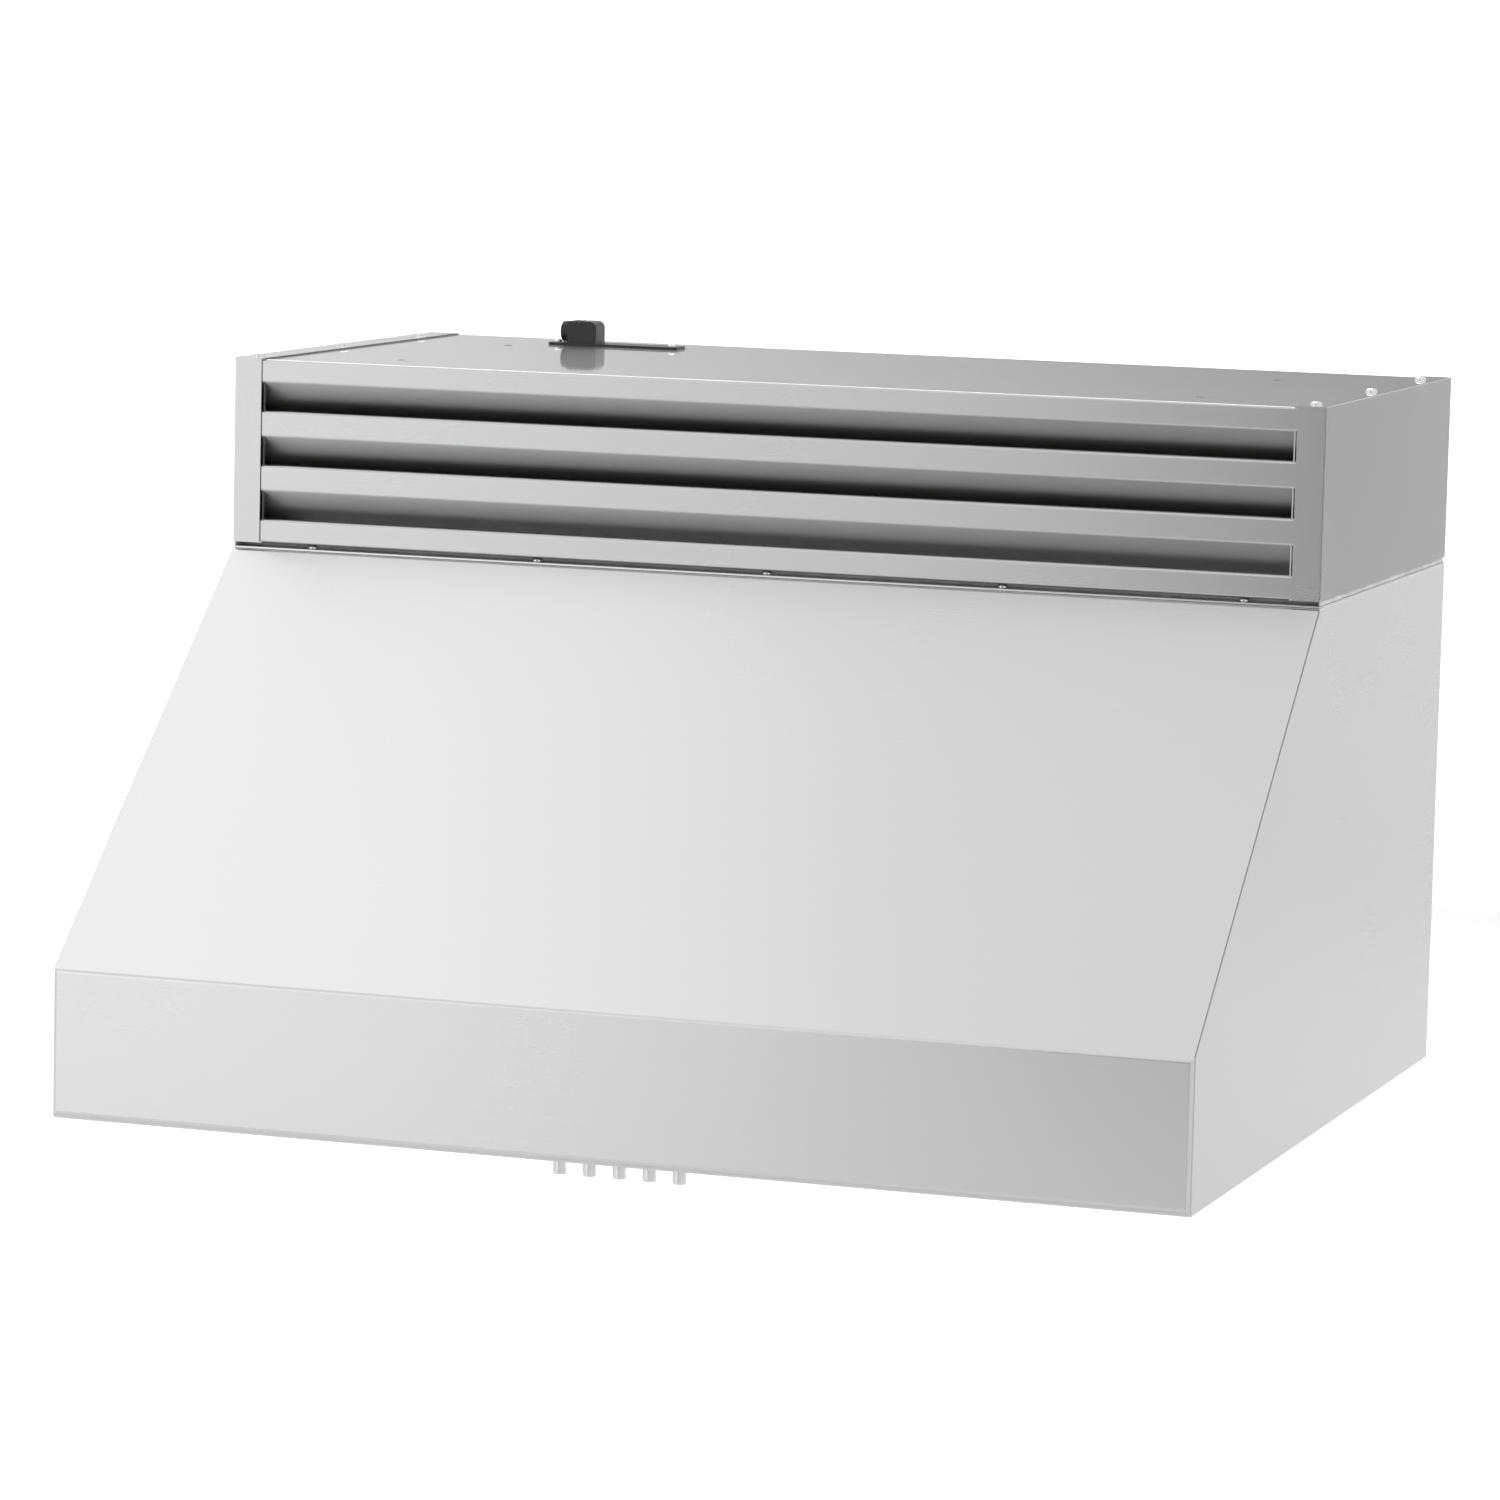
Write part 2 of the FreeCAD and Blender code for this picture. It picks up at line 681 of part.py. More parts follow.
def outlet_collar():
    x = (-collar_half_x, collar_half_x)
    z = (canopy_height, canopy_height + collar_height)
    wall = block(x, collar_y, z)
    inner_x = (x[0] + collar_wall, x[1] - collar_wall)
    inner_y = (collar_y[0] + collar_wall, collar_y[1] - collar_wall)
    wall = wall.cut(block(inner_x, inner_y, (z[0] - 1, z[1] + 1)))
    foot = block((x[0] - collar_foot, x[1] + collar_foot), (collar_y[0] - collar_foot, collar_y[1] + collar_foot),
                 (z[0], z[0] + collar_wall))
    foot = foot.cut(block(inner_x, inner_y, (z[0] - 1, z[0] + 2)))
    stop_high = damper_z - flap_half - 0.2
    stop_z = (stop_high - collar_wall, stop_high)
    stops = [block(inner_x, (inner_y[0] - 0.2, inner_y[0] + damper_stop), stop_z),
             block(inner_x, (inner_y[1] - damper_stop, inner_y[1] + 0.2), stop_z)]
    collar = fused([wall, foot] + stops)
    return drilled(collar, "x", [(y, damper_z) for y in damper_pin_y], damper_pin_r + 0.05, -200, 200)


def damper_pins():
    return Part.makeCompound([rod("x", (y, damper_z), damper_pin_r, -collar_half_x, collar_half_x)
                              for y in damper_pin_y])


def damper_flap(pin_y, side):
    """A light flap on its pin; side is -1 for the front flap and 1 for the rear one."""
    reach = damper_open_x
    edge_y = collar_y[0] + collar_wall + 1.0 if side < 0 else collar_y[1] - collar_wall - 1.0
    leaf = block((-reach, reach), sorted((pin_y, edge_y)), (damper_z - flap_half, damper_z + flap_half))
    sleeve = rod("x", (pin_y, damper_z), damper_pin_r + 1.0, -reach, reach)
    return fused([leaf, sleeve]).cut(rod("x", (pin_y, damper_z), damper_pin_r + running_gap, -200, 200))


# ---- wiring housings ----
box_x = (-345.0, -200.0)
box_y = (-100.0, -24.0)
box_low = 297.0
box_wall = 1.0
ear_reach = 14.0
ear_y = (-70.0, -50.0)
ear_thick = 3.5
conduit_r = 9.0
conduit_wall = 1.5
conduit_drop = 20.0


def junction_box():
    wall = box_wall
    outer = block(box_x, box_y, (box_low, deck_under - ear_thick + wall))
    inner = block((box_x[0] + wall, box_x[1] - wall), (box_y[0] + wall, box_y[1] - wall),
                  (box_low + wall, deck_under))
    ears = [block((x, x + ear_reach), ear_y, (deck_under - ear_thick, deck_under))
            for x in (box_x[0] - ear_reach + wall, box_x[1] - wall)]
    return fused([outer.cut(inner)] + ears)


def lead_conduit():
    low = canopy_height - conduit_drop
    return ring("z", (lead_x, gland_y), conduit_r, conduit_r - conduit_wall, low, kit_top_z - kit_sheet)


# ---- recirculating box ----
kit_screw_back = (15.0, 165.0, 308.0)
kit_screw_spots = [(side * (half - kit_flange / 2), back - depth_top)
                   for side in (-1, 1) for back in kit_screw_back]
small_hole_r = 1.9
kit_head_r = 3.75
kit_head_height = 2.5
kit_screw_r = 1.7
kit_screw_length = 7.0
kit_rear_bend_r = 4.0
kit_corner_r = 0.9
kit_bend_r = 1.6
conduit_exit_r = 6.0
blade_side_gap = 1.5
rail_foot = 22.0
back_gap = 4.0
pad_half = (9.0, 12.0)
pad_y = (-290.0, -40.0)
seal_front_y = (-338.0, -334.0)
seal_side = (1.8, 0.3)
seal_front_gap = 1.5
charcoal_y = (-325.0, -305.0)
charcoal_gap = 3.0


def kit_end():
    """Right end cap: side panel with a 22 mm flange turned in all round."""
    cap = block((post_inner_x, half), (-depth_top, 0.0), (kit_low, kit_high))
    cap = rounded_along_x(cap, 0.0, kit_high, kit_rear_bend_r)
    room = block((post_inner_x - 1, kit_inner_half), (kit_sheet - depth_top, -kit_sheet),
                 (kit_low + kit_sheet, kit_top_z))
    room = rounded_along_x(room, -kit_sheet, kit_top_z, kit_rear_bend_r - kit_sheet)
    upright = [e for e in cap.Edges if e.BoundBox.XMin > half - tiny and e.BoundBox.YMax < tiny - depth_top]
    cap = cap.makeFillet(kit_corner_r, upright).cut(room)
    return drilled(cap, "z", kit_screw_spots, small_hole_r, kit_high - 2, kit_high + 1)


def blade_trimmed(strip, fold_z):
    """Cuts the sloping blade back to the posts; the upright face runs on behind them."""
    for side in (-1, 1):
        x = sorted((side * (post_inner_x - blade_side_gap), side * half))
        strip = strip.cut(block(x, (-depth_top, 0.0), (fold_z - blade_drop - 3, fold_z + 1.2)))
    return strip


def kit_top():
    fold_z = kit_high - face_height
    line = [(-kit_sheet, kit_top_z), (slat_face_y, kit_top_z), (slat_face_y, fold_z),
            (slat_face_y + blade_reach, fold_z - blade_drop)]
    top = folded(line, [0.0, kit_bend_r, slat_bend_r, 0.0], kit_sheet, 1, "x", -kit_inner_half, kit_inner_half)
    top = blade_trimmed(top, fold_z)
    for side in (-1, 1):
        behind = sorted((side * post_inner_x, side * half))
        top = top.cut(block(behind, (-kit_rear_bend_r - 0.2, 0.0), (kit_top_z - 3, kit_high)))
    mounts = [(side * cabinet_hole_x, y) for side in (-1, 1) for y in cabinet_hole_y]
    top = drilled(top, "z", mounts, mount_hole_r, kit_top_z - 2, kit_high)
    top = drilled(top, "z", [(lead_x, gland_y)], conduit_exit_r, kit_top_z - 2, kit_high)
    small = kit_screw_spots + [(x, gland_y) for x in gland_screw_x]
    return drilled(top, "z", small, small_hole_r, kit_top_z - 2, kit_high)


def louvre_slat(order):
    """Order 1 is the upper slat and 2 the lower one."""
    top = kit_high - face_height - slot_height - (order - 1) * (slat_height + slot_height)
    fold_z = top - slat_height
    line = [(slat_face_y + slat_return, top), (slat_face_y, top), (slat_face_y, fold_z),
            (slat_face_y + blade_reach, fold_z - blade_drop)]
    slat = folded(line, [0.0, small_bend_r, slat_bend_r, 0.0], kit_sheet, 1, "x", -kit_inner_half, kit_inner_half)
    return blade_trimmed(slat, fold_z)


def kit_bottom_rail():
    top = kit_low + face_height
    low = kit_low + kit_sheet
    line = [(slat_face_y + slat_return, top), (slat_face_y, top), (slat_face_y, low),
            (slat_face_y + rail_foot, low)]
    return folded(line, [0.0, small_bend_r, kit_bend_r, 0.0], kit_sheet, 1, "x", -kit_inner_half, kit_inner_half)


def kit_back():
    return block((-kit_inner_half, kit_inner_half), (-2 * kit_sheet, -kit_sheet),
                 (kit_low + kit_sheet, kit_top_z - back_gap))


def kit_screws():
    return Part.makeCompound([pan_screw(x, y, kit_high, kit_head_r, kit_head_height, kit_screw_r, kit_screw_length)
                              for x, y in kit_screw_spots])


def kit_pads():
    wide, deep = pad_half
    x = half - kit_flange / 2
    z = (canopy_height, kit_low)
    return Part.makeCompound([block((side * x - wide, side * x + wide), (y - deep, y + deep), z)
                              for side in (-1, 1) for y in pad_y])


def kit_seal():
    """Foam strips that close the gap under the box, across the front and along both sides."""
    z = (canopy_height, kit_low)
    reach = half - seal_side[0]
    strips = [block((-reach, reach), seal_front_y, z)]
    for side in (-1, 1):
        x = sorted(side * (half - inset) for inset in seal_side)
        strips.append(block(x, (seal_front_gap - depth_top, -back_gap), z))
    return Part.makeCompound(strips)


def charcoal_filters():
    reach = post_inner_x - 2 * charcoal_gap
    return Part.makeCompound([block(x, charcoal_y, (canopy_height, kit_top_z - charcoal_gap))
                              for x in ((-reach, -charcoal_gap), (charcoal_gap, reach))])


# ---- cord inlet on the box's top ----
plate_top = kit_top_z + gland_plate_size[2]
bore_z = plate_top + grip_height / 2
plate_corner_r = 3.0
grip_heel_r = 5.0
grip_toe_r = 1.5
notch_x = (5.0, 9.0)
notch_half = 1.2
notch_depth = 2.2
nut_r = 7.2
nut_length = 6.0
nut_round = 1.2
nut_grooves = 12
gland_head_r = 3.0
gland_head_height = 2.2
gland_screw_length = 6.0


def gland_plate():
    long_half = gland_plate_size[0] / 2
    wide_half = gland_plate_size[1] / 2
    corners = [(gland_x - long_half, gland_y - wide_half), (gland_x + long_half, gland_y - wide_half),
               (gland_x + long_half, gland_y + wide_half), (gland_x - long_half, gland_y + wide_half)]
    plate = prism(corners, [plate_corner_r] * 4, "z", kit_top_z, plate_top)
    return drilled(plate, "z", [(x, gland_y) for x in gland_screw_x], small_hole_r, kit_top_z - 1, plate_top + 1)


def cord_grip():
    """Angled cord clamp: the cord comes in level, from the left."""
    top = plate_top + grip_height
    side = [(grip_x[0], plate_top), (grip_x[1], plate_top), (grip_x[1], top), (grip_x[0], top)]
    y = (gland_y - grip_depth / 2, gland_y + grip_depth / 2)
    body = prism(side, [0.0, 0.0, grip_heel_r, grip_toe_r], "y", *y)
    for step in notch_x:
        x = grip_x[0] + step
        notch = [(x - notch_half, top + 0.5), (x, top - notch_depth), (x + notch_half, top + 0.5)]
        body = body.cut(prism(notch, [0.0] * 3, "y", y[0] - 1, y[1] + 1))
    return body.cut(rod("x", (gland_y, bore_z), cord_bore_r, grip_x[0] - 1,
                        grip_x[0] + cord_bore_length - nut_length))


def cord_nut():
    face_x = grip_x[0] - nut_length
    nut = rod("x", (gland_y, bore_z), nut_r, face_x, grip_x[0])
    nut = nut.makeFillet(nut_round, [e for e in nut.Edges if e.BoundBox.XMax < face_x + tiny])
    for index in range(nut_grooves):
        groove = block((face_x - 1, grip_x[0] - 1.5), (-0.5, 0.5), (nut_r - 0.5, nut_r + 1))
        groove.rotate(vec(0, 0), vec(1, 0), index * 360 / nut_grooves)
        groove.translate(vec(0, gland_y, bore_z))
        nut = nut.cut(groove)
    return nut.cut(rod("x", (gland_y, bore_z), cord_bore_r, face_x - 1, grip_x[0] + 1))


def gland_screws():
    return Part.makeCompound([pan_screw(x, gland_y, plate_top, gland_head_r, gland_head_height, kit_screw_r,
                                        gland_screw_length) for x in gland_screw_x])


# ---- every sub-part, written out one file each ----
os.makedirs("parts", exist_ok=True)

pairs = {"canopy_side": canopy_side(), "scroll": scroll_right(), "impeller": impeller_right(),
         "kit_end": kit_end()}
for name, right in pairs.items():
    export(name + "_right", right)
    export(name + "_left", mirrored(right))

for name, x in (("left", -filter_x), ("right", filter_x)):
    export("filter_frame_" + name, filter_frame(x))
    export("filter_baffles_" + name, filter_baffles(x))
    export("filter_handle_" + name, filter_handle(x))

for name, x in (("left", -lamp_x), ("right", lamp_x)):
    export("lamp_bezel_" + name, lamp_bezel(x))

for index, (x, y) in enumerate(button_spots):
    moved = button()
    moved.translate(vec(x, 0))
    export("button_" + str(index + 1), moved)

export("damper_flap_front", damper_flap(damper_pin_y[0], -1))
export("damper_flap_rear", damper_flap(damper_pin_y[1], 1))
export("louvre_slat_upper", louvre_slat(1))
export("louvre_slat_lower", louvre_slat(2))

singles = [canopy_front, canopy_back, canopy_deck, deck_screws, button_bezels, switch_bodies, switch_cover,
           lamp_lenses, lamp_bodies, filter_rail_front, filter_divider, filter_pivots, grease_tray,
           tray_bracket, tray_magnets, inlet_rings, motor_shaft, motor_body, motor_bracket, capacitor,
           outlet_collar, damper_pins, junction_box, lead_conduit, kit_top, kit_bottom_rail, kit_back,
           kit_screws, kit_pads, kit_seal, charcoal_filters, gland_plate, cord_grip, cord_nut, gland_screws]
for make in singles:
    export(make.__name__, make())
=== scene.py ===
import json
import math

import bpy
import bmesh
from mathutils import Matrix, Vector


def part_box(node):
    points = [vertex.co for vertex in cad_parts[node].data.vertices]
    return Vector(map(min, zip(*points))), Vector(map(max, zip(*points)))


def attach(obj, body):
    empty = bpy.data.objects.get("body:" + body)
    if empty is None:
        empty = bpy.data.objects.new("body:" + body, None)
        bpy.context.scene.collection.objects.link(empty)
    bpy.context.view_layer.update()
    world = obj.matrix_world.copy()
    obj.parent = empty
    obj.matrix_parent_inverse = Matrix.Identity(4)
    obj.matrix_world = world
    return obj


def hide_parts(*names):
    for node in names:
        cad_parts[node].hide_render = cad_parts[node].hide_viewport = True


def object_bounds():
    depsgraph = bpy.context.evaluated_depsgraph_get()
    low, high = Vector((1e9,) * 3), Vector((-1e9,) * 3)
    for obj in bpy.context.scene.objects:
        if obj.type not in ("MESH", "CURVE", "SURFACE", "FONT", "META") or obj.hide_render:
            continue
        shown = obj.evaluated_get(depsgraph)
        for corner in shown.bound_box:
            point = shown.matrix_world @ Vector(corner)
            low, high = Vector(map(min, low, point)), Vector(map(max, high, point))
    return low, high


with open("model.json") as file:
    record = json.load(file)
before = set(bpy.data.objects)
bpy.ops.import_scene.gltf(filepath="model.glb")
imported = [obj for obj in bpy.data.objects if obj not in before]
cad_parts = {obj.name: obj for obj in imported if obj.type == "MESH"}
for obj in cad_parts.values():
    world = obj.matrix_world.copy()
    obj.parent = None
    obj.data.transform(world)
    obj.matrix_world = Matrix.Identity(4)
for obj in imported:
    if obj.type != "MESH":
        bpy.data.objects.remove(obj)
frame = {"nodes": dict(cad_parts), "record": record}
cadLow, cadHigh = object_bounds()    # the CAD box
nodes = frame["nodes"]
scene = bpy.context.scene
mm = 0.001
hair = 0.01 * mm    # points closer than this count as one
level = 0.99        # a face counts as flat when its normal is this close to the axis


# A socket in a material's tree, so that shader maths reads as plain expressions.
class Link:
    def __init__(self, shader, socket):
        self.shader = shader
        self.socket = socket

    def __add__(self, other):
        return self.shader.maths("ADD", self, other)

    def __radd__(self, other):
        return self.shader.maths("ADD", other, self)

    def __sub__(self, other):
        return self.shader.maths("SUBTRACT", self, other)

    def __rsub__(self, other):
        return self.shader.maths("SUBTRACT", other, self)

    def __mul__(self, other):
        return self.shader.maths("MULTIPLY", self, other)

    def __rmul__(self, other):
        return self.shader.maths("MULTIPLY", other, self)


# One material under construction. add() makes any node from its type, settings and inputs.
class Shader:
    def __init__(self, name):
        self.material = bpy.data.materials.new(name)
        self.material.use_nodes = True
        self.tree = self.material.node_tree
        self.tree.nodes.clear()
        self.output = self.tree.nodes.new("ShaderNodeOutputMaterial")
        self.position = self.add("ShaderNodeTexCoord", out="Object")

    def put(self, socket, value):
        if isinstance(value, Link):
            self.tree.links.new(value.socket, socket)
        elif isinstance(value, tuple) and len(value) == 3 and socket.type == "RGBA":
            socket.default_value = (*value, 1.0)
        else:
            socket.default_value = value

    def add(self, kind, settings=None, inputs=None, out=0):
        node = self.tree.nodes.new(kind)
        for key, value in (settings or {}).items():
            setattr(node, key, value)
        for key, value in (inputs or {}).items():
            self.put(node.inputs[key], value)
        return Link(self, node.outputs[out])

    def maths(self, operation, a, b=0.0, clamp=False):
        return self.add("ShaderNodeMath", {"operation": operation, "use_clamp": clamp}, {0: a, 1: b})

    def mixed(self, factor, a, b):
        return self.add("ShaderNodeMix", {"data_type": "RGBA"}, {0: factor, 6: a, 7: b}, out=2)

    def noise(self, scale, stretch=(1, 1, 1), detail=3.0, rough=0.55):
        place = self.add("ShaderNodeMapping", {}, {"Vector": self.position, "Scale": stretch})
        return self.add("ShaderNodeTexNoise", {}, {"Vector": place, "Scale": scale, "Detail": detail,
                                                   "Roughness": rough})

    def ramp(self, value, low, high):
        return self.add("ShaderNodeMapRange", {"interpolation_type": "SMOOTHSTEP"},
                        {"Value": value, "From Min": low, "From Max": high})

    def bump(self, height, strength, distance):
        return self.add("ShaderNodeBump", {}, {"Height": height, "Strength": strength,
                                               "Distance": distance})

    def tinted(self, shade, green=1.0, blue=1.0):
        return self.add("ShaderNodeCombineColor", {}, {"Red": shade, "Green": shade * green,
                                                       "Blue": shade * blue})

    def surface(self, **inputs):
        names = {"colour": "Base Color", "rough": "Roughness", "metal": "Metallic", "normal": "Normal",
                 "coat": "Coat Weight", "coatRough": "Coat Roughness", "ior": "IOR",
                 "through": "Transmission Weight"}
        values = {names[key]: value for key, value in inputs.items()}
        shader = self.add("ShaderNodeBsdfPrincipled", {}, values)
        self.tree.links.new(shader.socket, self.output.inputs["Surface"])
        return self.material


# A geometry-nodes tree with named inputs. run() puts it on a piece and turns the result into a plain mesh.
class Repeater:
    def __init__(self, name, sockets):
        self.group = bpy.data.node_groups.new(name, "GeometryNodeTree")
        self.group.interface.new_socket(name="Geometry", in_out="OUTPUT", socket_type="NodeSocketGeometry")
        self.names = {}
        for label, kind in [("Geometry", "Geometry")] + sockets:
            made = self.group.interface.new_socket(name=label, in_out="INPUT",
                                                   socket_type="NodeSocket" + kind)
            self.names[label] = made.identifier
        self.given = self.group.nodes.new("NodeGroupInput")
        self.result = self.group.nodes.new("NodeGroupOutput")

    def add(self, kind, settings=None, inputs=None):
        node = self.group.nodes.new(kind)
        for key, value in (settings or {}).items():
            setattr(node, key, value)
        for key, value in (inputs or {}).items():
            if isinstance(value, bpy.types.NodeSocket):
                self.group.links.new(value, node.inputs[key])
            else:
                node.inputs[key].default_value = value
        return node

    def finish(self, shapes):
        plain = self.add("GeometryNodeRealizeInstances", {}, {"Geometry": shapes})
        coated = self.add("GeometryNodeSetMaterial", {}, {"Geometry": plain.outputs[0],
                                                          "Material": self.given.outputs["Material"]})
        self.group.links.new(coated.outputs[0], self.result.inputs["Geometry"])

    def run(self, piece, values):
        maker = piece.modifiers.new(self.group.name, "NODES")
        maker.node_group = self.group
        for label, value in values.items():
            maker[self.names[label]] = value
        return applied(piece)


def newPiece(name, bm):
    mesh = bpy.data.meshes.new(name)
    bm.to_mesh(mesh)
    bm.free()
    piece = bpy.data.objects.new(name, mesh)
    scene.collection.objects.link(piece)
    return piece


# The piece's modifiers are used up: what they make becomes its plain mesh.
def applied(piece):
    graph = bpy.context.evaluated_depsgraph_get()
    graph.update()
    mesh = bpy.data.meshes.new_from_object(piece.evaluated_get(graph), preserve_all_data_layers=True,
                                           depsgraph=graph)
    piece.modifiers.clear()
    piece.data = mesh
    return piece


# Cuts the tool's shape out of the piece and throws the tool away.
def carved(piece, tool, crossing=False):
    cut = piece.modifiers.new("cut", "BOOLEAN")
    cut.operation = "DIFFERENCE"
    cut.solver = "EXACT"
    cut.use_self = crossing
    cut.object = tool
    applied(piece)
    bpy.data.objects.remove(tool)
    return piece


def footprintCentre(box, z):
    low, high = box
    return Vector(((low.x + high.x) / 2, (low.y + high.y) / 2, z))


def smoothed(piece, angle=50):
    piece.data.shade_smooth()
    piece.data.set_sharp_from_angle(angle=math.radians(angle))
    piece.modifiers.new("flats", "WEIGHTED_NORMAL").keep_sharp = True
    return applied(piece)


# Gives a bent skin its gauge, measured inwards, and takes the sharpness off its cut edges.
def sheetMetal(piece, gauge, edge):
    solid = piece.modifiers.new("gauge", "SOLIDIFY")
    solid.thickness = gauge * mm
    solid.offset = -1
    solid.use_even_offset = True
    soft = piece.modifiers.new("deburred", "BEVEL")
    soft.limit_method = "ANGLE"
    soft.angle_limit = math.radians(50)
    soft.width = edge * mm
    soft.segments = 2
    return smoothed(applied(piece))


# Trims a finished piece to the outer box, then hands it over with its material and body.
def settle(piece, material, body, slot, *replaced):
    for vert in piece.data.vertices:
        vert.co = [min(max(value, low), high) for value, low, high in zip(vert.co, cadLow, cadHigh)]
    paint(piece, material)
    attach(piece, body)
    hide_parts(*replaced)
    return piece


# A flat-sided hull with every bend rounded to its own radius; bends maps a pair of corners to millimetres.
def bentHull(name, corners, faces, bends):
    bm = bmesh.new()
    verts = [bm.verts.new(corner) for corner in corners]
    for face in faces:
        bm.faces.new([verts[index] for index in face])
    bmesh.ops.recalc_face_normals(bm, faces=bm.faces)
    weight = bm.edges.layers.float.new("bevel_weight_edge")
    widest = max(bends.values())
    for (first, second), radius in bends.items():
        bm.edges.get((verts[first], verts[second]))[weight] = radius / widest
    piece = newPiece(name, bm)
    rounding = piece.modifiers.new("bends", "BEVEL")
    rounding.limit_method = "WEIGHT"
    rounding.width = widest * mm
    rounding.segments = 5
    return applied(piece)


# The (y, z) points of a bent line, each corner turned on its own radius in millimetres.
def bentLine(points, radii, steps=6):
    line = []
    for index, (point, radius) in enumerate(zip(points, radii)):
        here = Vector(point)
        if radius == 0:
            line.append(here)
            continue
        back = (Vector(points[index - 1]) - here).normalized()
        ahead = (Vector(points[index + 1]) - here).normalized()
        half = back.angle(ahead) / 2
        reach = radius * mm / math.tan(half)
        centre = here + (back + ahead).normalized() * radius * mm / math.sin(half)
        start, end = here + back * reach - centre, here + ahead * reach - centre
        turn = start.angle_signed(end)
        for step in range(steps + 1):
            swing = Matrix.Rotation(-turn * step / steps, 2)
            line.append(centre + swing @ start)
    return line


def foldedStrip(name, points, radii, xLow, xHigh):
    bm = bmesh.new()
    rows = [[bm.verts.new((x, y, z)) for x in (xLow, xHigh)] for y, z in bentLine(points, radii)]
    for here, after in zip(rows, rows[1:]):
        bm.faces.new((here[0], after[0], after[1], here[1]))
    return newPiece(name, bm)


# A turned shape about the Z axis through centre; profile is (radius, height) in millimetres, from one end.
def turned(bm, profile, centre, segments=40):
    rows = []
    for radius, height in profile:
        spokes = 1 if radius == 0 else segments
        row = []
        for step in range(spokes):
            angle = math.tau * step / segments
            spot = Vector((radius * math.cos(angle), radius * math.sin(angle), height))
            row.append(bm.verts.new(centre + mm * spot))
        rows.append(row)
    for here, after in zip(rows, rows[1:]):
        for step in range(segments):
            ring = [here[step % len(here)], here[(step + 1) % len(here)],
                    after[(step + 1) % len(after)], after[step % len(after)]]
            bm.faces.new(list(dict.fromkeys(ring)))
    bmesh.ops.recalc_face_normals(bm, faces=bm.faces)


# Tones are linear greys and sheen is roughness, for faces that look forward, sideways, up and down; the
# darker tones on sides, tops and undersides are painted shade.
# Gloss is a clear polish on the faces that look up.
steelLooks = {
    "canopySteel": {"tone": (0.79, 0.42, 0.70, 0.70), "sheen": (0.27, 0.27, 0.27, 0.30), "relief": 0.004,
                    "cloud": 0.02, "gloss": 0.0},
    "boxSteel": {"tone": (0.67, 0.205, 0.60, 0.56), "sheen": (0.27, 0.30, 0.33, 0.40), "relief": 0.004,
                 "cloud": 0.03, "gloss": 1.0},
    "filter": {"tone": (0.66, 0.66, 0.66, 0.66), "sheen": (0.24, 0.24, 0.24, 0.24), "relief": 0.03,
               "cloud": 0.10, "gloss": 0.0},
}


# Layers of brush marks: how fine across, how fine along, noise detail and share.
brushing = ((700, 6, 2.0, 0.6), (1900, 20, 1.0, 0.4))


def brushMarks(shader, axis):
    layers = []
    for fine, long, detail, share in brushing:
        stretch = [fine, fine, fine]
        stretch[axis] = long
        layers.append(shader.noise(1.0, tuple(stretch), detail=detail) * share)
    return layers[0] + layers[1]


# Brushed along X on faces that look forward or up, and along Y on the sides, with painted shade in the tone
# by facing.
def brushedSteel(name, look):
    shader = Shader(name)
    facing = shader.add("ShaderNodeTexCoord", out="Normal")
    sideways, upward = [shader.add("ShaderNodeSeparateXYZ", {}, {"Vector": facing}, out=axis)
                        for axis in ("X", "Z")]
    isSide = shader.ramp(shader.maths("ABSOLUTE", sideways), 0.80, 0.97)
    isTop = shader.ramp(upward, 0.85, 0.98)
    isUnder = shader.ramp(0.0 - upward, 0.2, 0.5)
    along, across = brushMarks(shader, 0), brushMarks(shader, 1)
    grain = along + (across - along) * isSide
    cloud = shader.noise(4.5, detail=2.0, rough=0.5)
    handled = shader.ramp(shader.noise(2.1, detail=1.0, rough=0.5), 0.45, 0.75)

    def facingValue(front, side, top, under):
        return front + isSide * (side - front) + isTop * (top - front) + isUnder * (under - front)

    # Painted shade: the tone follows the way a face looks, so sides, tops and undersides get their own
    # darker grey.
    tone, sheen = facingValue(*look["tone"]), facingValue(*look["sheen"])
    shade = tone * (1.0 + (grain - 0.5) * 0.022 + (cloud - 0.5) * look["cloud"])
    rough = sheen + (grain - 0.5) * 0.014 + (cloud - 0.5) * 0.02 + handled * 0.015
    return shader.surface(colour=shader.tinted(shade, 1.0, 1.004), rough=rough, metal=1.0,
                          normal=shader.bump(grain, look["relief"], 0.0003),
                          coat=isTop * look["gloss"], coatRough=0.04)


def galvanisedSheet(name):
    shader = Shader(name)
    spangle = shader.add("ShaderNodeTexVoronoi", {"feature": "F1"},
                         {"Vector": shader.position, "Scale": 95.0}, out="Color")
    flake = shader.add("ShaderNodeSeparateColor", {}, {"Color": spangle})
    dust = shader.noise(11.0, detail=5.0, rough=0.65)
    shade = 0.46 + flake * 0.14 + (dust - 0.5) * 0.10
    rough = 0.36 + flake * 0.16 + (dust - 0.5) * 0.08
    return shader.surface(colour=shader.tinted(shade, 1.01, 1.02), rough=rough, metal=1.0,
                          normal=shader.bump(flake, 0.08, 0.0003))


def platedSteel(name, tone, shine):
    shader = Shader(name)
    turning = shader.noise(420.0, detail=3.0)
    worn = shader.ramp(shader.noise(160.0, detail=4.0), 0.5, 0.72)
    shade = tone * (1.0 + (turning - 0.5) * 0.12) - worn * 0.05
    rough = shine + (turning - 0.5) * 0.08 + worn * 0.10
    return shader.surface(colour=shader.tinted(shade, 1.0, 1.01), rough=rough, metal=1.0,
                          normal=shader.bump(turning, 0.06, 0.0002))


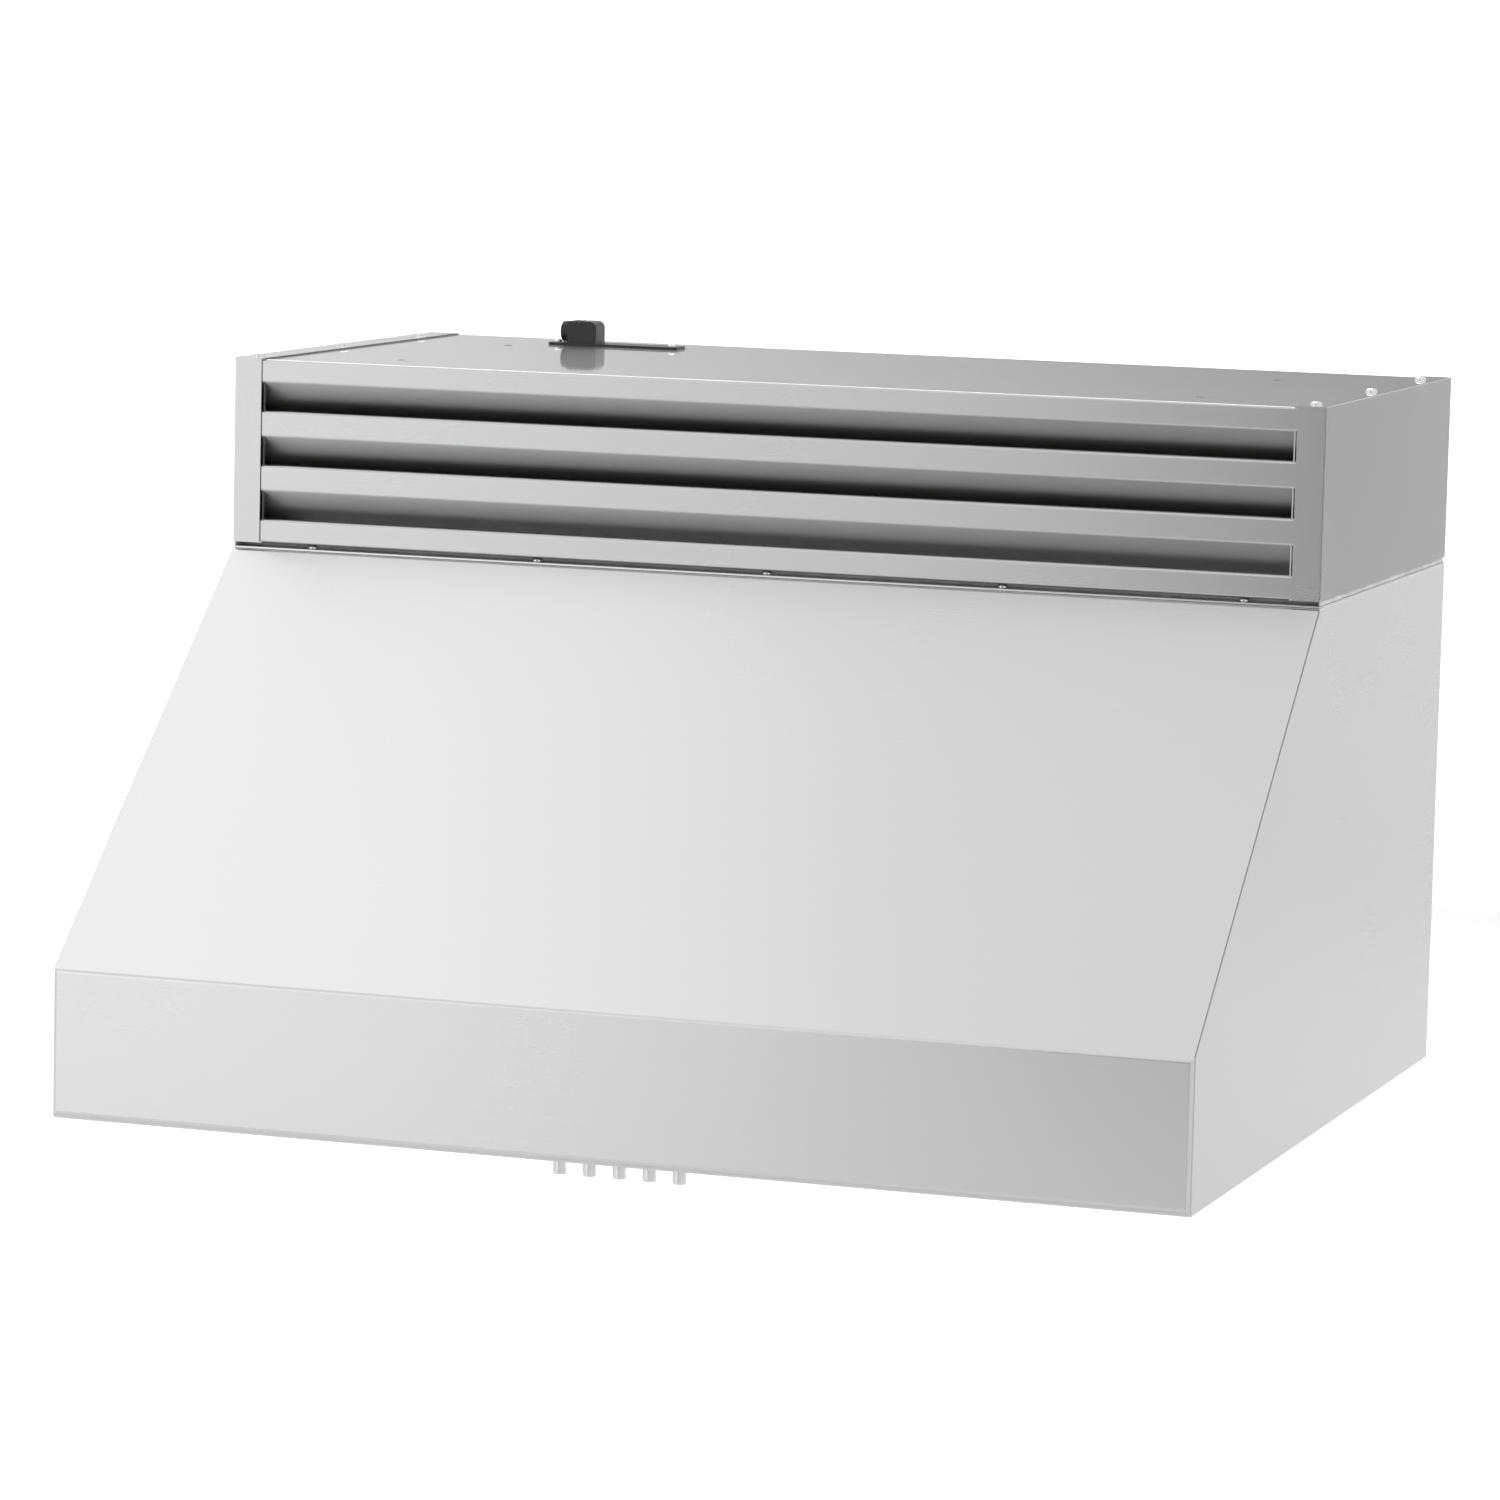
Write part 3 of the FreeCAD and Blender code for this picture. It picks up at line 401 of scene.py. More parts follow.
def mouldedPlastic(name, colour, shine, pitting=900.0):
    shader = Shader(name)
    pits = shader.noise(pitting, detail=2.0)
    patches = shader.noise(38.0, detail=4.0, rough=0.6)
    light = tuple(channel * 1.35 + 0.004 for channel in colour)
    shade = shader.mixed(shader.ramp(patches, 0.3, 0.75), (*colour, 1.0), (*light, 1.0))
    rough = shine + (pits - 0.5) * 0.14 + (patches - 0.5) * 0.10
    return shader.surface(colour=shade, rough=rough, metal=0.0, normal=shader.bump(pits, 0.12, 0.0003))


def enamelPaint(name, colour):
    shader = Shader(name)
    peel = shader.noise(260.0, detail=2.0)
    dust = shader.ramp(shader.noise(24.0, detail=5.0), 0.45, 0.8)
    grey = tuple(channel + 0.05 for channel in colour)
    shade = shader.mixed(dust, (*colour, 1.0), (*grey, 1.0))
    return shader.surface(colour=shade, rough=0.30 + dust * 0.25, metal=0.0, coat=0.3,
                          normal=shader.bump(peel, 0.10, 0.0004))


def millAluminium(name):
    shader = Shader(name)
    rolled = shader.noise(1.0, (30, 700, 700), detail=3.0)
    cloud = shader.noise(22.0, detail=4.0)
    shade = 0.62 + (rolled - 0.5) * 0.12 + (cloud - 0.5) * 0.08
    rough = 0.38 + (rolled - 0.5) * 0.15
    return shader.surface(colour=shader.tinted(shade, 1.005, 1.015), rough=rough, metal=1.0,
                          normal=shader.bump(rolled, 0.08, 0.0003))


def carbonGranules(name):
    shader = Shader(name)
    grains = shader.add("ShaderNodeTexVoronoi", {"feature": "F1"},
                        {"Vector": shader.position, "Scale": 420.0}, out="Distance")
    web = shader.noise(60.0, detail=5.0)
    shade = shader.mixed(shader.ramp(web, 0.4, 0.7), (0.012, 0.012, 0.012, 1.0), (0.045, 0.044, 0.043, 1.0))
    return shader.surface(colour=shade, rough=0.75 + (web - 0.5) * 0.3, metal=0.0,
                          normal=shader.bump(grains, 0.5, 0.0015))


def frostedGlass(name):
    shader = Shader(name)
    etch = shader.noise(1400.0, detail=2.0)
    return shader.surface(colour=(0.93, 0.94, 0.93), rough=0.42 + (etch - 0.5) * 0.2, metal=0.0,
                          through=0.75, ior=1.47, normal=shader.bump(etch, 0.15, 0.0002))


def ferrite(name):
    shader = Shader(name)
    sinter = shader.noise(520.0, detail=4.0)
    shade = shader.mixed(sinter, (0.055, 0.05, 0.05, 1.0), (0.12, 0.115, 0.11, 1.0))
    return shader.surface(colour=shade, rough=0.55 + (sinter - 0.5) * 0.25, metal=0.0,
                          normal=shader.bump(sinter, 0.2, 0.0003))


steels = {key: brushedSteel(key, look) for key, look in steelLooks.items()}
finishes = {
    "canopy_steel": steels["canopySteel"],
    "kit_steel": steels["boxSteel"],
    "galvanised_steel": galvanisedSheet("galvanised"),
    "filter_steel": steels["filter"],
    "bright_steel": platedSteel("plated", 0.86, 0.14),
    "black_plastic": mouldedPlastic("blackPlastic", (0.018, 0.018, 0.019), 0.40),
    "wheel_plastic": mouldedPlastic("wheelPlastic", (0.05, 0.05, 0.055), 0.45, 500.0),
    "lamp_glass": frostedGlass("frostedLens"),
    "motor_paint": enamelPaint("motorEnamel", (0.03, 0.03, 0.032)),
    "aluminium": millAluminium("millAluminium"),
    "charcoal": carbonGranules("carbon"),
    "magnet": ferrite("ferrite"),
    "seal_foam": mouldedPlastic("greyFoam", (0.62, 0.62, 0.62), 0.75, 1400.0),
    "capacitor_shell": mouldedPlastic("paleShell", (0.55, 0.55, 0.52), 0.35),
}


def paint(piece, material):
    piece.data.materials.clear()
    piece.data.materials.append(material)


for part in frame["record"]["subparts"]:
    node = part["node"]
    paint(nodes[node], finishes[part["material_slot"]])
print("materials on every part")


# Sizes here and in the dictionaries below are in millimetres.
canopy = {"lip": 97, "gauge": 1.2, "slopeTop": 356, "return": 95, "returnHem": 14, "hem": 9, "flange": 20,
          "rearGap": 27, "frontBend": 6.0, "foldBend": 1.8, "cornerBend": 3.5, "topBend": 2.5,
          "rearBend": 8.0, "hemBend": 1.3, "seam": 0.8, "buttonHole": 6.0, "lampHole": 25.3, "edge": 0.25}


# Bottom return, lip, slope and sides are one bent skin, open below, above and behind.
def canopyShell():
    low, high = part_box("canopy_side_right")
    half, front, rear, floorZ, topZ = high.x, low.y, high.y, low.z, high.z
    foldZ, slopeY = floorZ + canopy["lip"] * mm, rear - canopy["slopeTop"] * mm
    outline = [(rear, floorZ), (front, floorZ), (front, foldZ), (slopeY, topZ), (rear, topZ)]
    corners = [(x, y, z) for x in (-half, half) for y, z in outline]
    around = range(len(outline))
    faces = [tuple(around), tuple(index + 5 for index in around)]
    faces += [(index, (index + 1) % 5, (index + 1) % 5 + 5, index + 5) for index in around]
    across = [canopy[bend] for bend in ("rearBend", "frontBend", "foldBend", "topBend", "hemBend")]
    alongSide = [canopy[bend] for bend in ("hemBend", "cornerBend", "seam", "hemBend", "hemBend")]
    bends = {(index, index + 5): across[index] for index in around}
    for index in around:
        for end in (0, 5):
            bends[(index + end, (index + 1) % 5 + end)] = alongSide[index]
    piece = bentHull("canopyShell", corners, faces, bends)

    bm = bmesh.new()
    bm.from_mesh(piece.data)
    returnY, rearY = front + canopy["return"] * mm, rear - canopy["rearGap"] * mm
    flangeY = slopeY + canopy["flange"] * mm
    hemX, flangeX = half - canopy["hem"] * mm, half - canopy["flange"] * mm
    cuts = [((0, y, 0), (0, 1, 0)) for y in (returnY, rearY, flangeY)]
    cuts += [((x, 0, 0), (1, 0, 0)) for x in (hemX, -hemX, flangeX, -flangeX)]
    for place, normal in cuts:
        flats = [face for face in bm.faces if abs(face.normal.z) > level]
        rim = list({edge for face in flats for edge in face.edges})
        spots = list({vert for face in flats for vert in face.verts})
        bmesh.ops.bisect_plane(bm, geom=flats + rim + spots, plane_co=place, plane_no=normal, dist=hair)
    slopeNormal = Vector((0, foldZ - topZ, slopeY - front)).normalized()

    def isOpen(face):
        spot, facing = face.calc_center_median(), face.normal
        if facing.y > 0.9:
            return True
        if facing.z < -level and spot.z < floorZ + mm:
            return spot.y > rearY or (spot.y > returnY and abs(spot.x) < hemX)
        if facing.z > level and spot.z > topZ - mm:
            return spot.y > rearY or (spot.y > flangeY and abs(spot.x) < flangeX)
        onSeam = foldZ + 2 * mm < spot.z < topZ - 2 * mm and spot.y < slopeY
        return onSeam and abs(facing.x) < 0.97 and abs(facing.dot(slopeNormal)) < 0.995

    bmesh.ops.delete(bm, geom=[face for face in bm.faces if isOpen(face)], context="FACES")

    def onHem(vert):
        nearLine = abs(vert.co.y - returnY) < 10 * hair and abs(vert.co.x) < hemX + 10 * hair
        return nearLine and vert.co.z < floorZ + mm

    hemLine = [edge for edge in bm.edges if all(onHem(vert) for vert in edge.verts)]
    raised = bmesh.ops.extrude_edge_only(bm, edges=hemLine)["geom"]
    bmesh.ops.translate(bm, vec=(0, 0, canopy["returnHem"] * mm),
                        verts=[item for item in raised if isinstance(item, bmesh.types.BMVert)])
    cutHoles(bm, floorZ, returnY)
    bmesh.ops.recalc_face_normals(bm, faces=bm.faces)
    bm.to_mesh(piece.data)
    bm.free()
    sheetMetal(piece, canopy["gauge"], canopy["edge"])
    settle(piece, steels["canopySteel"], "hood", "canopy_steel", "canopy_front", "canopy_side_left",
           "canopy_side_right")


# The button and lamp holes, filled round in the flat bottom return.
def cutHoles(bm, floorZ, returnY):
    plate = [face for face in bm.faces if face.normal.z < -level and face.calc_center_median().y < returnY
             and face.calc_center_median().z < floorZ + mm]
    rim = [edge for edge in {edge for face in plate for edge in face.edges}
           if sum(face in plate for face in edge.link_faces) == 1]
    bmesh.ops.delete(bm, geom=plate, context="FACES_ONLY")
    holes = [("button_" + str(number), canopy["buttonHole"]) for number in range(1, 6)]
    holes += [("lamp_bezel_left", canopy["lampHole"]), ("lamp_bezel_right", canopy["lampHole"])]
    for node, radius in holes:
        centre = footprintCentre(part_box(node), floorZ)
        circle = bmesh.ops.create_circle(bm, segments=48, radius=radius * mm,
                                         matrix=Matrix.Translation(centre))
        rim += list({edge for vert in circle["verts"] for edge in vert.link_edges})
    bmesh.ops.triangle_fill(bm, use_beauty=True, edges=rim, normal=(0, 0, -1))


# Upright round holes through a sheet, at one of the record's bolt patterns.
def drilled(piece, mount):
    pattern = next(item for item in frame["record"]["mounts"] if item["name"] == mount)
    middle, size = Vector(pattern["pos_m"]), pattern["dims"]
    radius, depth = size["hole_r_mm"] * mm, 10 * mm
    bm = bmesh.new()
    for x in (-0.5, 0.5):
        for y in (-0.5, 0.5):
            spot = middle + mm * Vector((x * size["spacing_x_mm"], y * size["spacing_y_mm"], 0))
            bmesh.ops.create_cone(bm, cap_ends=True, segments=32, radius1=radius, radius2=radius,
                                  depth=depth, matrix=Matrix.Translation(spot))
    return smoothed(carved(piece, newPiece("drill", bm)))


louvre = {"gauge": 1.0, "face": 16, "slat": 17, "return": 8, "reach": 19, "drop": 23, "topBend": 1.6,
          "slatTopBend": 2.0, "foldBend": 3.0, "railFlange": 22, "railLift": 0.1, "rearTrim": 1.5,
          "edge": 0.2}


# The louvre: folded top sheet with its own front slat, loose slats stacked under it, and the bottom rail.
def louvres():
    capLow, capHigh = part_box("kit_end_right")
    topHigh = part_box("kit_top")[1]
    reach, gauge = topHigh.x, louvre["gauge"] * mm
    faceY, topZ, lowZ = capLow.y + gauge, topHigh.z, capLow.z
    slot = (capHigh.z - capLow.z - 2 * louvre["face"] * mm - 2 * louvre["slat"] * mm) / 3
    pitch = slot + louvre["slat"] * mm
    fold = capHigh.z - louvre["face"] * mm
    bladeFoot = (faceY + louvre["reach"] * mm, fold - louvre["drop"] * mm)
    sheetLine = [(topHigh.y - louvre["rearTrim"] * mm, topZ), (faceY, topZ), (faceY, fold), bladeFoot]
    sheetBends = [0, louvre["topBend"], louvre["foldBend"], 0]
    sheet = foldedStrip("boxTopSheet", sheetLine, sheetBends, -reach, reach)
    sheet = drilled(sheetMetal(sheet, louvre["gauge"], louvre["edge"]), "cabinet_screws")
    settle(sheet, steels["boxSteel"], "hood", "kit_steel", "kit_top")

    top = fold - slot
    slatLine = [(faceY + louvre["return"] * mm, top), (faceY, top), (faceY, top - louvre["slat"] * mm),
                (bladeFoot[0], top - (louvre["slat"] + louvre["drop"]) * mm)]
    slatBends = [0, louvre["slatTopBend"], louvre["foldBend"], 0]
    slats = foldedStrip("louvreSlats", slatLine, slatBends, -reach, reach)
    sheetMetal(slats, louvre["gauge"], louvre["edge"])
    stack = Repeater("slatStack", [("Count", "Int"), ("Drop", "Vector"), ("Material", "Material")])
    line = stack.add("GeometryNodeMeshLine", {"mode": "OFFSET"}, {"Count": stack.given.outputs["Count"],
                                                                  "Offset": stack.given.outputs["Drop"]})
    copies = stack.add("GeometryNodeInstanceOnPoints", {}, {"Points": line.outputs[0],
                                                            "Instance": stack.given.outputs["Geometry"]})
    stack.finish(copies.outputs[0])
    stack.run(slats, {"Count": 2, "Drop": (0, 0, -pitch), "Material": steels["boxSteel"]})
    settle(slats, steels["boxSteel"], "hood", "kit_steel", "louvre_slat_upper", "louvre_slat_lower")

    railTop, railLow = lowZ + louvre["face"] * mm, lowZ + louvre["railLift"] * mm
    railLine = [(faceY + louvre["return"] * mm, railTop), (faceY, railTop), (faceY, railLow),
                (faceY + louvre["railFlange"] * mm, railLow)]
    railBends = [0, louvre["slatTopBend"], louvre["topBend"], 0]
    rail = foldedStrip("bottomRail", railLine, railBends, -reach, reach)
    settle(sheetMetal(rail, louvre["gauge"], louvre["edge"]), steels["boxSteel"], "hood", "kit_steel",
           "kit_bottom_rail")


endCap = {"gauge": 1.0, "seam": 0.9, "sideBend": 1.0, "rearBend": 4.0, "innerBend": 2.6, "edge": 0.25}


# An end cap is a shallow tray on its side; its front corner is an open seam.
def boxEnd(side):
    node = "kit_end_" + side
    low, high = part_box(node)
    inner, outer = (low.x, high.x) if side == "right" else (high.x, low.x)
    outline = ((low.y, low.z), (high.y, low.z), (high.y, high.z), (low.y, high.z))
    corners = [(x, y, z) for x in (inner, outer) for y, z in outline]
    faces = [(0, 1, 2, 3), (4, 5, 6, 7), (0, 1, 5, 4), (1, 2, 6, 5), (2, 3, 7, 6), (3, 0, 4, 7)]
    bends = {(4, 5): endCap["sideBend"], (5, 6): endCap["sideBend"], (6, 7): endCap["sideBend"],
             (7, 4): endCap["seam"], (2, 6): endCap["rearBend"], (0, 3): endCap["innerBend"]}
    piece = bentHull("boxEnd" + side.capitalize(), corners, faces, bends)
    bm = bmesh.new()
    bm.from_mesh(piece.data)
    inward = math.copysign(1.0, inner - outer)

    def isOpen(face):
        spot, facing = face.calc_center_median(), face.normal
        onSeam = spot.y < low.y + endCap["seam"] * mm and low.z + mm < spot.z < high.z - mm
        return facing.x * inward > level or (onSeam and 0.05 < abs(facing.x) < 0.95)

    bmesh.ops.delete(bm, geom=[face for face in bm.faces if isOpen(face)], context="FACES")
    bm.to_mesh(piece.data)
    bm.free()
    sheetMetal(piece, endCap["gauge"], endCap["edge"])
    settle(piece, steels["boxSteel"], "hood", "kit_steel", node)


# The separate solids of one CAD part, as a list of (low, high) boxes from left to right.
def solidBoxes(node):
    bm = bmesh.new()
    bm.from_mesh(nodes[node].data)
    bmesh.ops.remove_doubles(bm, verts=bm.verts, dist=hair)
    boxes, waiting = [], set(bm.verts)
    while waiting:
        island, edge = set(), [waiting.pop()]
        while edge:
            vert = edge.pop()
            island.add(vert)
            for link in vert.link_edges:
                other = link.other_vert(vert)
                if other in waiting:
                    waiting.discard(other)
                    edge.append(other)
        boxes.append((Vector([min(vert.co[axis] for vert in island) for axis in range(3)]),
                      Vector([max(vert.co[axis] for vert in island) for axis in range(3)])))
    bm.free()
    return sorted(boxes, key=lambda box: (round(box[0].x, 4), box[0].y))


foam = {"setBack": 13.4, "depth": 4.0, "swell": 1.2}


# Foam strips under the box. The front one is squeezed forward to the deck's front screws.
def foamSeal():
    boxes = solidBoxes("kit_seal")
    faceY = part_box("kit_end_right")[0].y
    bm = bmesh.new()
    for low, high in boxes:
        if high.x - low.x > high.y - low.y:
            low.y, high.y = faceY + foam["setBack"] * mm, faceY + (foam["setBack"] + foam["depth"]) * mm
        bmesh.ops.create_cube(bm, size=1.0, matrix=Matrix.Translation((low + high) / 2)
                              @ Matrix.Diagonal((*(high - low), 1.0)))
    piece = newPiece("foamSeal", bm)
    soft = piece.modifiers.new("swell", "BEVEL")
    soft.width = foam["swell"] * mm
    soft.segments = 3
    settle(smoothed(applied(piece)), finishes["seal_foam"], "hood", "seal_foam", "kit_seal")


# The head's outline and the recess are in parts of the head's size.
screw = {"recess": 0.55, "slotWidth": 0.8, "slotDepth": 1.0, "shank": 0.48, "segments": 32, "seed": 7,
         "head": ((0, 1), (0.45, 0.97), (0.78, 0.82), (0.95, 0.55), (1, 0.25), (1, 0))}


# One pan-head screw with a crossed recess, standing at the origin, sized by its head.
def screwModel(headRadius, headHeight, length):
    bm = bmesh.new()
    shank = headRadius * screw["shank"]
    profile = [(across * headRadius, up * headHeight) for across, up in screw["head"]]
    profile += [(shank, 0), (shank, -length + 1), (0.4 * shank, -length), (0, -length)]
    turned(bm, profile, Vector((0, 0, 0)), screw["segments"])
    model = newPiece("screwModel", bm)
    cutter = bmesh.new()
    long, wide = headRadius * screw["recess"] * mm, screw["slotWidth"] * mm / 2
    for size in ((long, wide), (wide, long)):
        bmesh.ops.create_cube(cutter, size=2.0, matrix=Matrix.Translation((0, 0, headHeight * mm))
                              @ Matrix.Diagonal((size[0], size[1], screw["slotDepth"] * mm, 1.0)))
    return carved(model, newPiece("recessCutter", cutter), crossing=True)


# Copies of one model on a list of points, each turned by its own fixed amount.
def scattered(name, model, spots, material):
    bm = bmesh.new()
    for spot in spots:
        bm.verts.new(spot)
    piece = newPiece(name, bm)
    tree = Repeater(name + "Tree", [("Model", "Object"), ("Turn", "Float"), ("Seed", "Int"),
                                    ("Material", "Material")])
    shape = tree.add("GeometryNodeObjectInfo", {}, {"Object": tree.given.outputs["Model"]})
    chance = tree.add("FunctionNodeRandomValue", {"data_type": "FLOAT"},
                      {"Max": tree.given.outputs["Turn"], "Seed": tree.given.outputs["Seed"]})
    turn = tree.add("ShaderNodeCombineXYZ", {}, {"Z": chance.outputs["Value"]})
    points = tree.add("GeometryNodeMeshToPoints", {}, {"Mesh": tree.given.outputs["Geometry"]})
    copies = tree.add("GeometryNodeInstanceOnPoints", {}, {"Points": points.outputs[0],
                                                           "Instance": shape.outputs["Geometry"],
                                                           "Rotation": turn.outputs[0]})
    tree.finish(copies.outputs[0])
    tree.run(piece, {"Model": model, "Turn": math.tau, "Seed": screw["seed"], "Material": material})
    bpy.data.objects.remove(model)
    return smoothed(piece, 40)


def screws(node, headHeight):
    boxes = solidBoxes(node)
    low, high = boxes[0]
    headRadius, length = (high.x - low.x) / 2 / mm, (high.z - low.z) / mm - headHeight
    spots = [footprintCentre(box, box[1].z - headHeight * mm) for box in boxes]
    model = screwModel(headRadius, headHeight, length)
    piece = scattered(node.replace("_screws", "Screws"), model, spots, finishes["bright_steel"])
    settle(piece, finishes["bright_steel"], "hood", "bright_steel", node)


pushButton = {"radius": 4.75, "drop": 10.6, "shoulder": 2.8, "stem": 1.94, "stemTop": 8.0, "round": 1.1,
              "roundSteps": 6, "dish": 0.5, "segments": 48}


# Each button is one turned piece: stem, shoulder, cap and a dished face with a soft rim.
def buttons():
    radius, drop, rim = pushButton["radius"], pushButton["drop"], pushButton["round"]
    stem, shoulder, stemTop = pushButton["stem"], pushButton["shoulder"], pushButton["stemTop"]
    profile = [(0, stemTop), (stem, stemTop), (stem, shoulder), (radius, shoulder)]
    for step in range(pushButton["roundSteps"] + 1):
        angle = step * math.pi / (2 * pushButton["roundSteps"])
        profile.append((radius - rim + rim * math.cos(angle), rim - drop - rim * math.sin(angle)))
    dish = pushButton["dish"]
    profile += [(radius * 0.55, dish * 0.35 - drop), (radius * 0.3, dish * 0.8 - drop), (0, dish - drop)]
    for number in range(1, 6):
        node = "button_" + str(number)
        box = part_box(node)
        bm = bmesh.new()
        turned(bm, profile, footprintCentre(box, box[0].z + drop * mm), pushButton["segments"])
        piece = smoothed(newPiece("pushButton" + str(number), bm), 40)
        settle(piece, finishes["bright_steel"], node, "bright_steel", node)


bezel = {"gap": 0.06, "radius": 7.0, "drop": 1.4, "neck": 5.9, "neckTop": 5.0, "nut": 8.0, "nutTop": 3.4,
         "lip": 0.3}


def bezels():
    bore, sheet = pushButton["radius"] + bezel["gap"], canopy["gauge"]
    radius, drop, neck, nut, lip = (bezel[key] for key in ("radius", "drop", "neck", "nut", "lip"))
    profile = [(bore, bezel["neckTop"]), (neck, bezel["neckTop"]), (neck, bezel["nutTop"]),
               (nut, bezel["nutTop"]), (nut, sheet), (neck, sheet), (neck, 0), (radius, 0), (radius, -0.7),
               (radius - 0.25, -1.15), (radius - 0.8, -drop), (bore + lip, -drop), (bore, lip - drop),
               (bore, bezel["neckTop"])]
    bm = bmesh.new()
    turned(bm, profile, Vector((0, 0, 0)), pushButton["segments"])
    bmesh.ops.remove_doubles(bm, verts=bm.verts, dist=mm * 0.001)
    model = newPiece("bezelModel", bm)
    spots = [footprintCentre(box, box[0].z + drop * mm) for box in solidBoxes("button_bezels")]
    piece = scattered("buttonBezels", model, spots, finishes["bright_steel"])
    settle(piece, finishes["bright_steel"], "hood", "bright_steel", "button_bezels")


canopyShell()
print("canopy shell bent")
louvres()
for side in ("left", "right"):
    boxEnd(side)
foamSeal()
print("louvres and end caps folded")
for node, headHeight in (("deck_screws", 2.6), ("kit_screws", 2.5), ("gland_screws", 2.2)):
    screws(node, headHeight)
buttons()
bezels()
print("screws, buttons and bezels turned")


# Sizes from here on are in metres.
room = {"floorDrop": 0.9, "nearY": -14.0, "wallY": 12.0, "wallHeight": 9.0, "curve": 4.0, "curveSteps": 12,
        "halfWidth": 16.0, "tones": (0.83, 0.95), "change": (1.0, 4.5)}


def studioSweep():
    mesh = bpy.data.meshes.new("studioSweep")
    bm = bmesh.new()
    floorZ = cadLow.z - room["floorDrop"]
    curve = room["curve"]
    profile = [(room["nearY"], floorZ), (room["wallY"] - curve, floorZ)]
    for step in range(room["curveSteps"]):
        angle = (step + 1) / room["curveSteps"] * math.pi / 2
        profile.append((room["wallY"] - curve + curve * math.sin(angle),
                        floorZ + curve * (1 - math.cos(angle))))
    profile.append((room["wallY"], floorZ + room["wallHeight"]))
    rows = [[bm.verts.new((side * room["halfWidth"], y, z)) for side in (-1, 1)] for y, z in profile]
    for low, high in zip(rows, rows[1:]):
        bm.faces.new((low[0], low[1], high[1], high[0]))
    bm.to_mesh(mesh)
    bm.free()
    for face in mesh.polygons:
        face.use_smooth = True
    sweep = bpy.data.objects.new("studioSweep", mesh)
    scene.collection.objects.link(sweep)
    stagePaper(sweep, "studioPaper")


# Matt paper, painted lighter behind the hood to lift the shade where the floor curves up into the wall and
# darker in front, and clear when it is seen from below.
def stagePaper(piece, name):
    shader = Shader(name)
    back = shader.add("ShaderNodeSeparateXYZ", {}, {"Vector": shader.position}, out="Y")
    front, rear = room["tones"]
    # Painted light and shade: the paper's tone rises from the front to the back.
    shade = front + shader.ramp(back, *room["change"]) * (rear - front) + (shader.noise(6.0) - 0.5) * 0.02
    paper = shader.add("ShaderNodeBsdfDiffuse", {}, {"Color": shader.tinted(shade)})
    clear = shader.add("ShaderNodeBsdfTransparent")
    behind = shader.add("ShaderNodeNewGeometry", out="Backfacing")
    both = shader.add("ShaderNodeMixShader", {}, {0: behind, 1: paper, 2: clear})
    shader.tree.links.new(both.socket, shader.output.inputs["Surface"])
    paint(piece, shader.material)


lamps = {"leftSoftbox": {"place": (-1.95, -3.52, 0.21), "aim": (-1.95, 0, 0.21), "size": (2.0, 2.46),
                         "power": 6.45},
         "overheadSoftbox": {"place": (-2.3, -0.4, 3.0), "aim": (-2.3, -0.4, 0), "size": (2.5, 3.2),
                             "power": 7.7},
         "backdropWash": {"place": (-2.5, 4.5, 6.0), "aim": (-3.2, 9.0, -0.3), "size": (6.0, 2.5),
                          "power": 600}}


def softLight(name, place, aim, size, power):
    light = bpy.data.lights.new(name, "AREA")
    light.shape = "RECTANGLE"
    light.size, light.size_y = size
    light.energy = power
    lamp = bpy.data.objects.new(name, light)
    lamp.location = place
    lamp.rotation_euler = (Vector(aim) - Vector(place)).to_track_quat("-Z", "Y").to_euler()
    scene.collection.objects.link(lamp)


def studioAir(strength):
    world = bpy.data.worlds.new("studioAir")
    scene.world = world
    world.use_nodes = True
    air = world.node_tree.nodes["Background"].inputs
    air["Color"].default_value = (1.0, 1.0, 1.0, 1.0)
    air["Strength"].default_value = strength


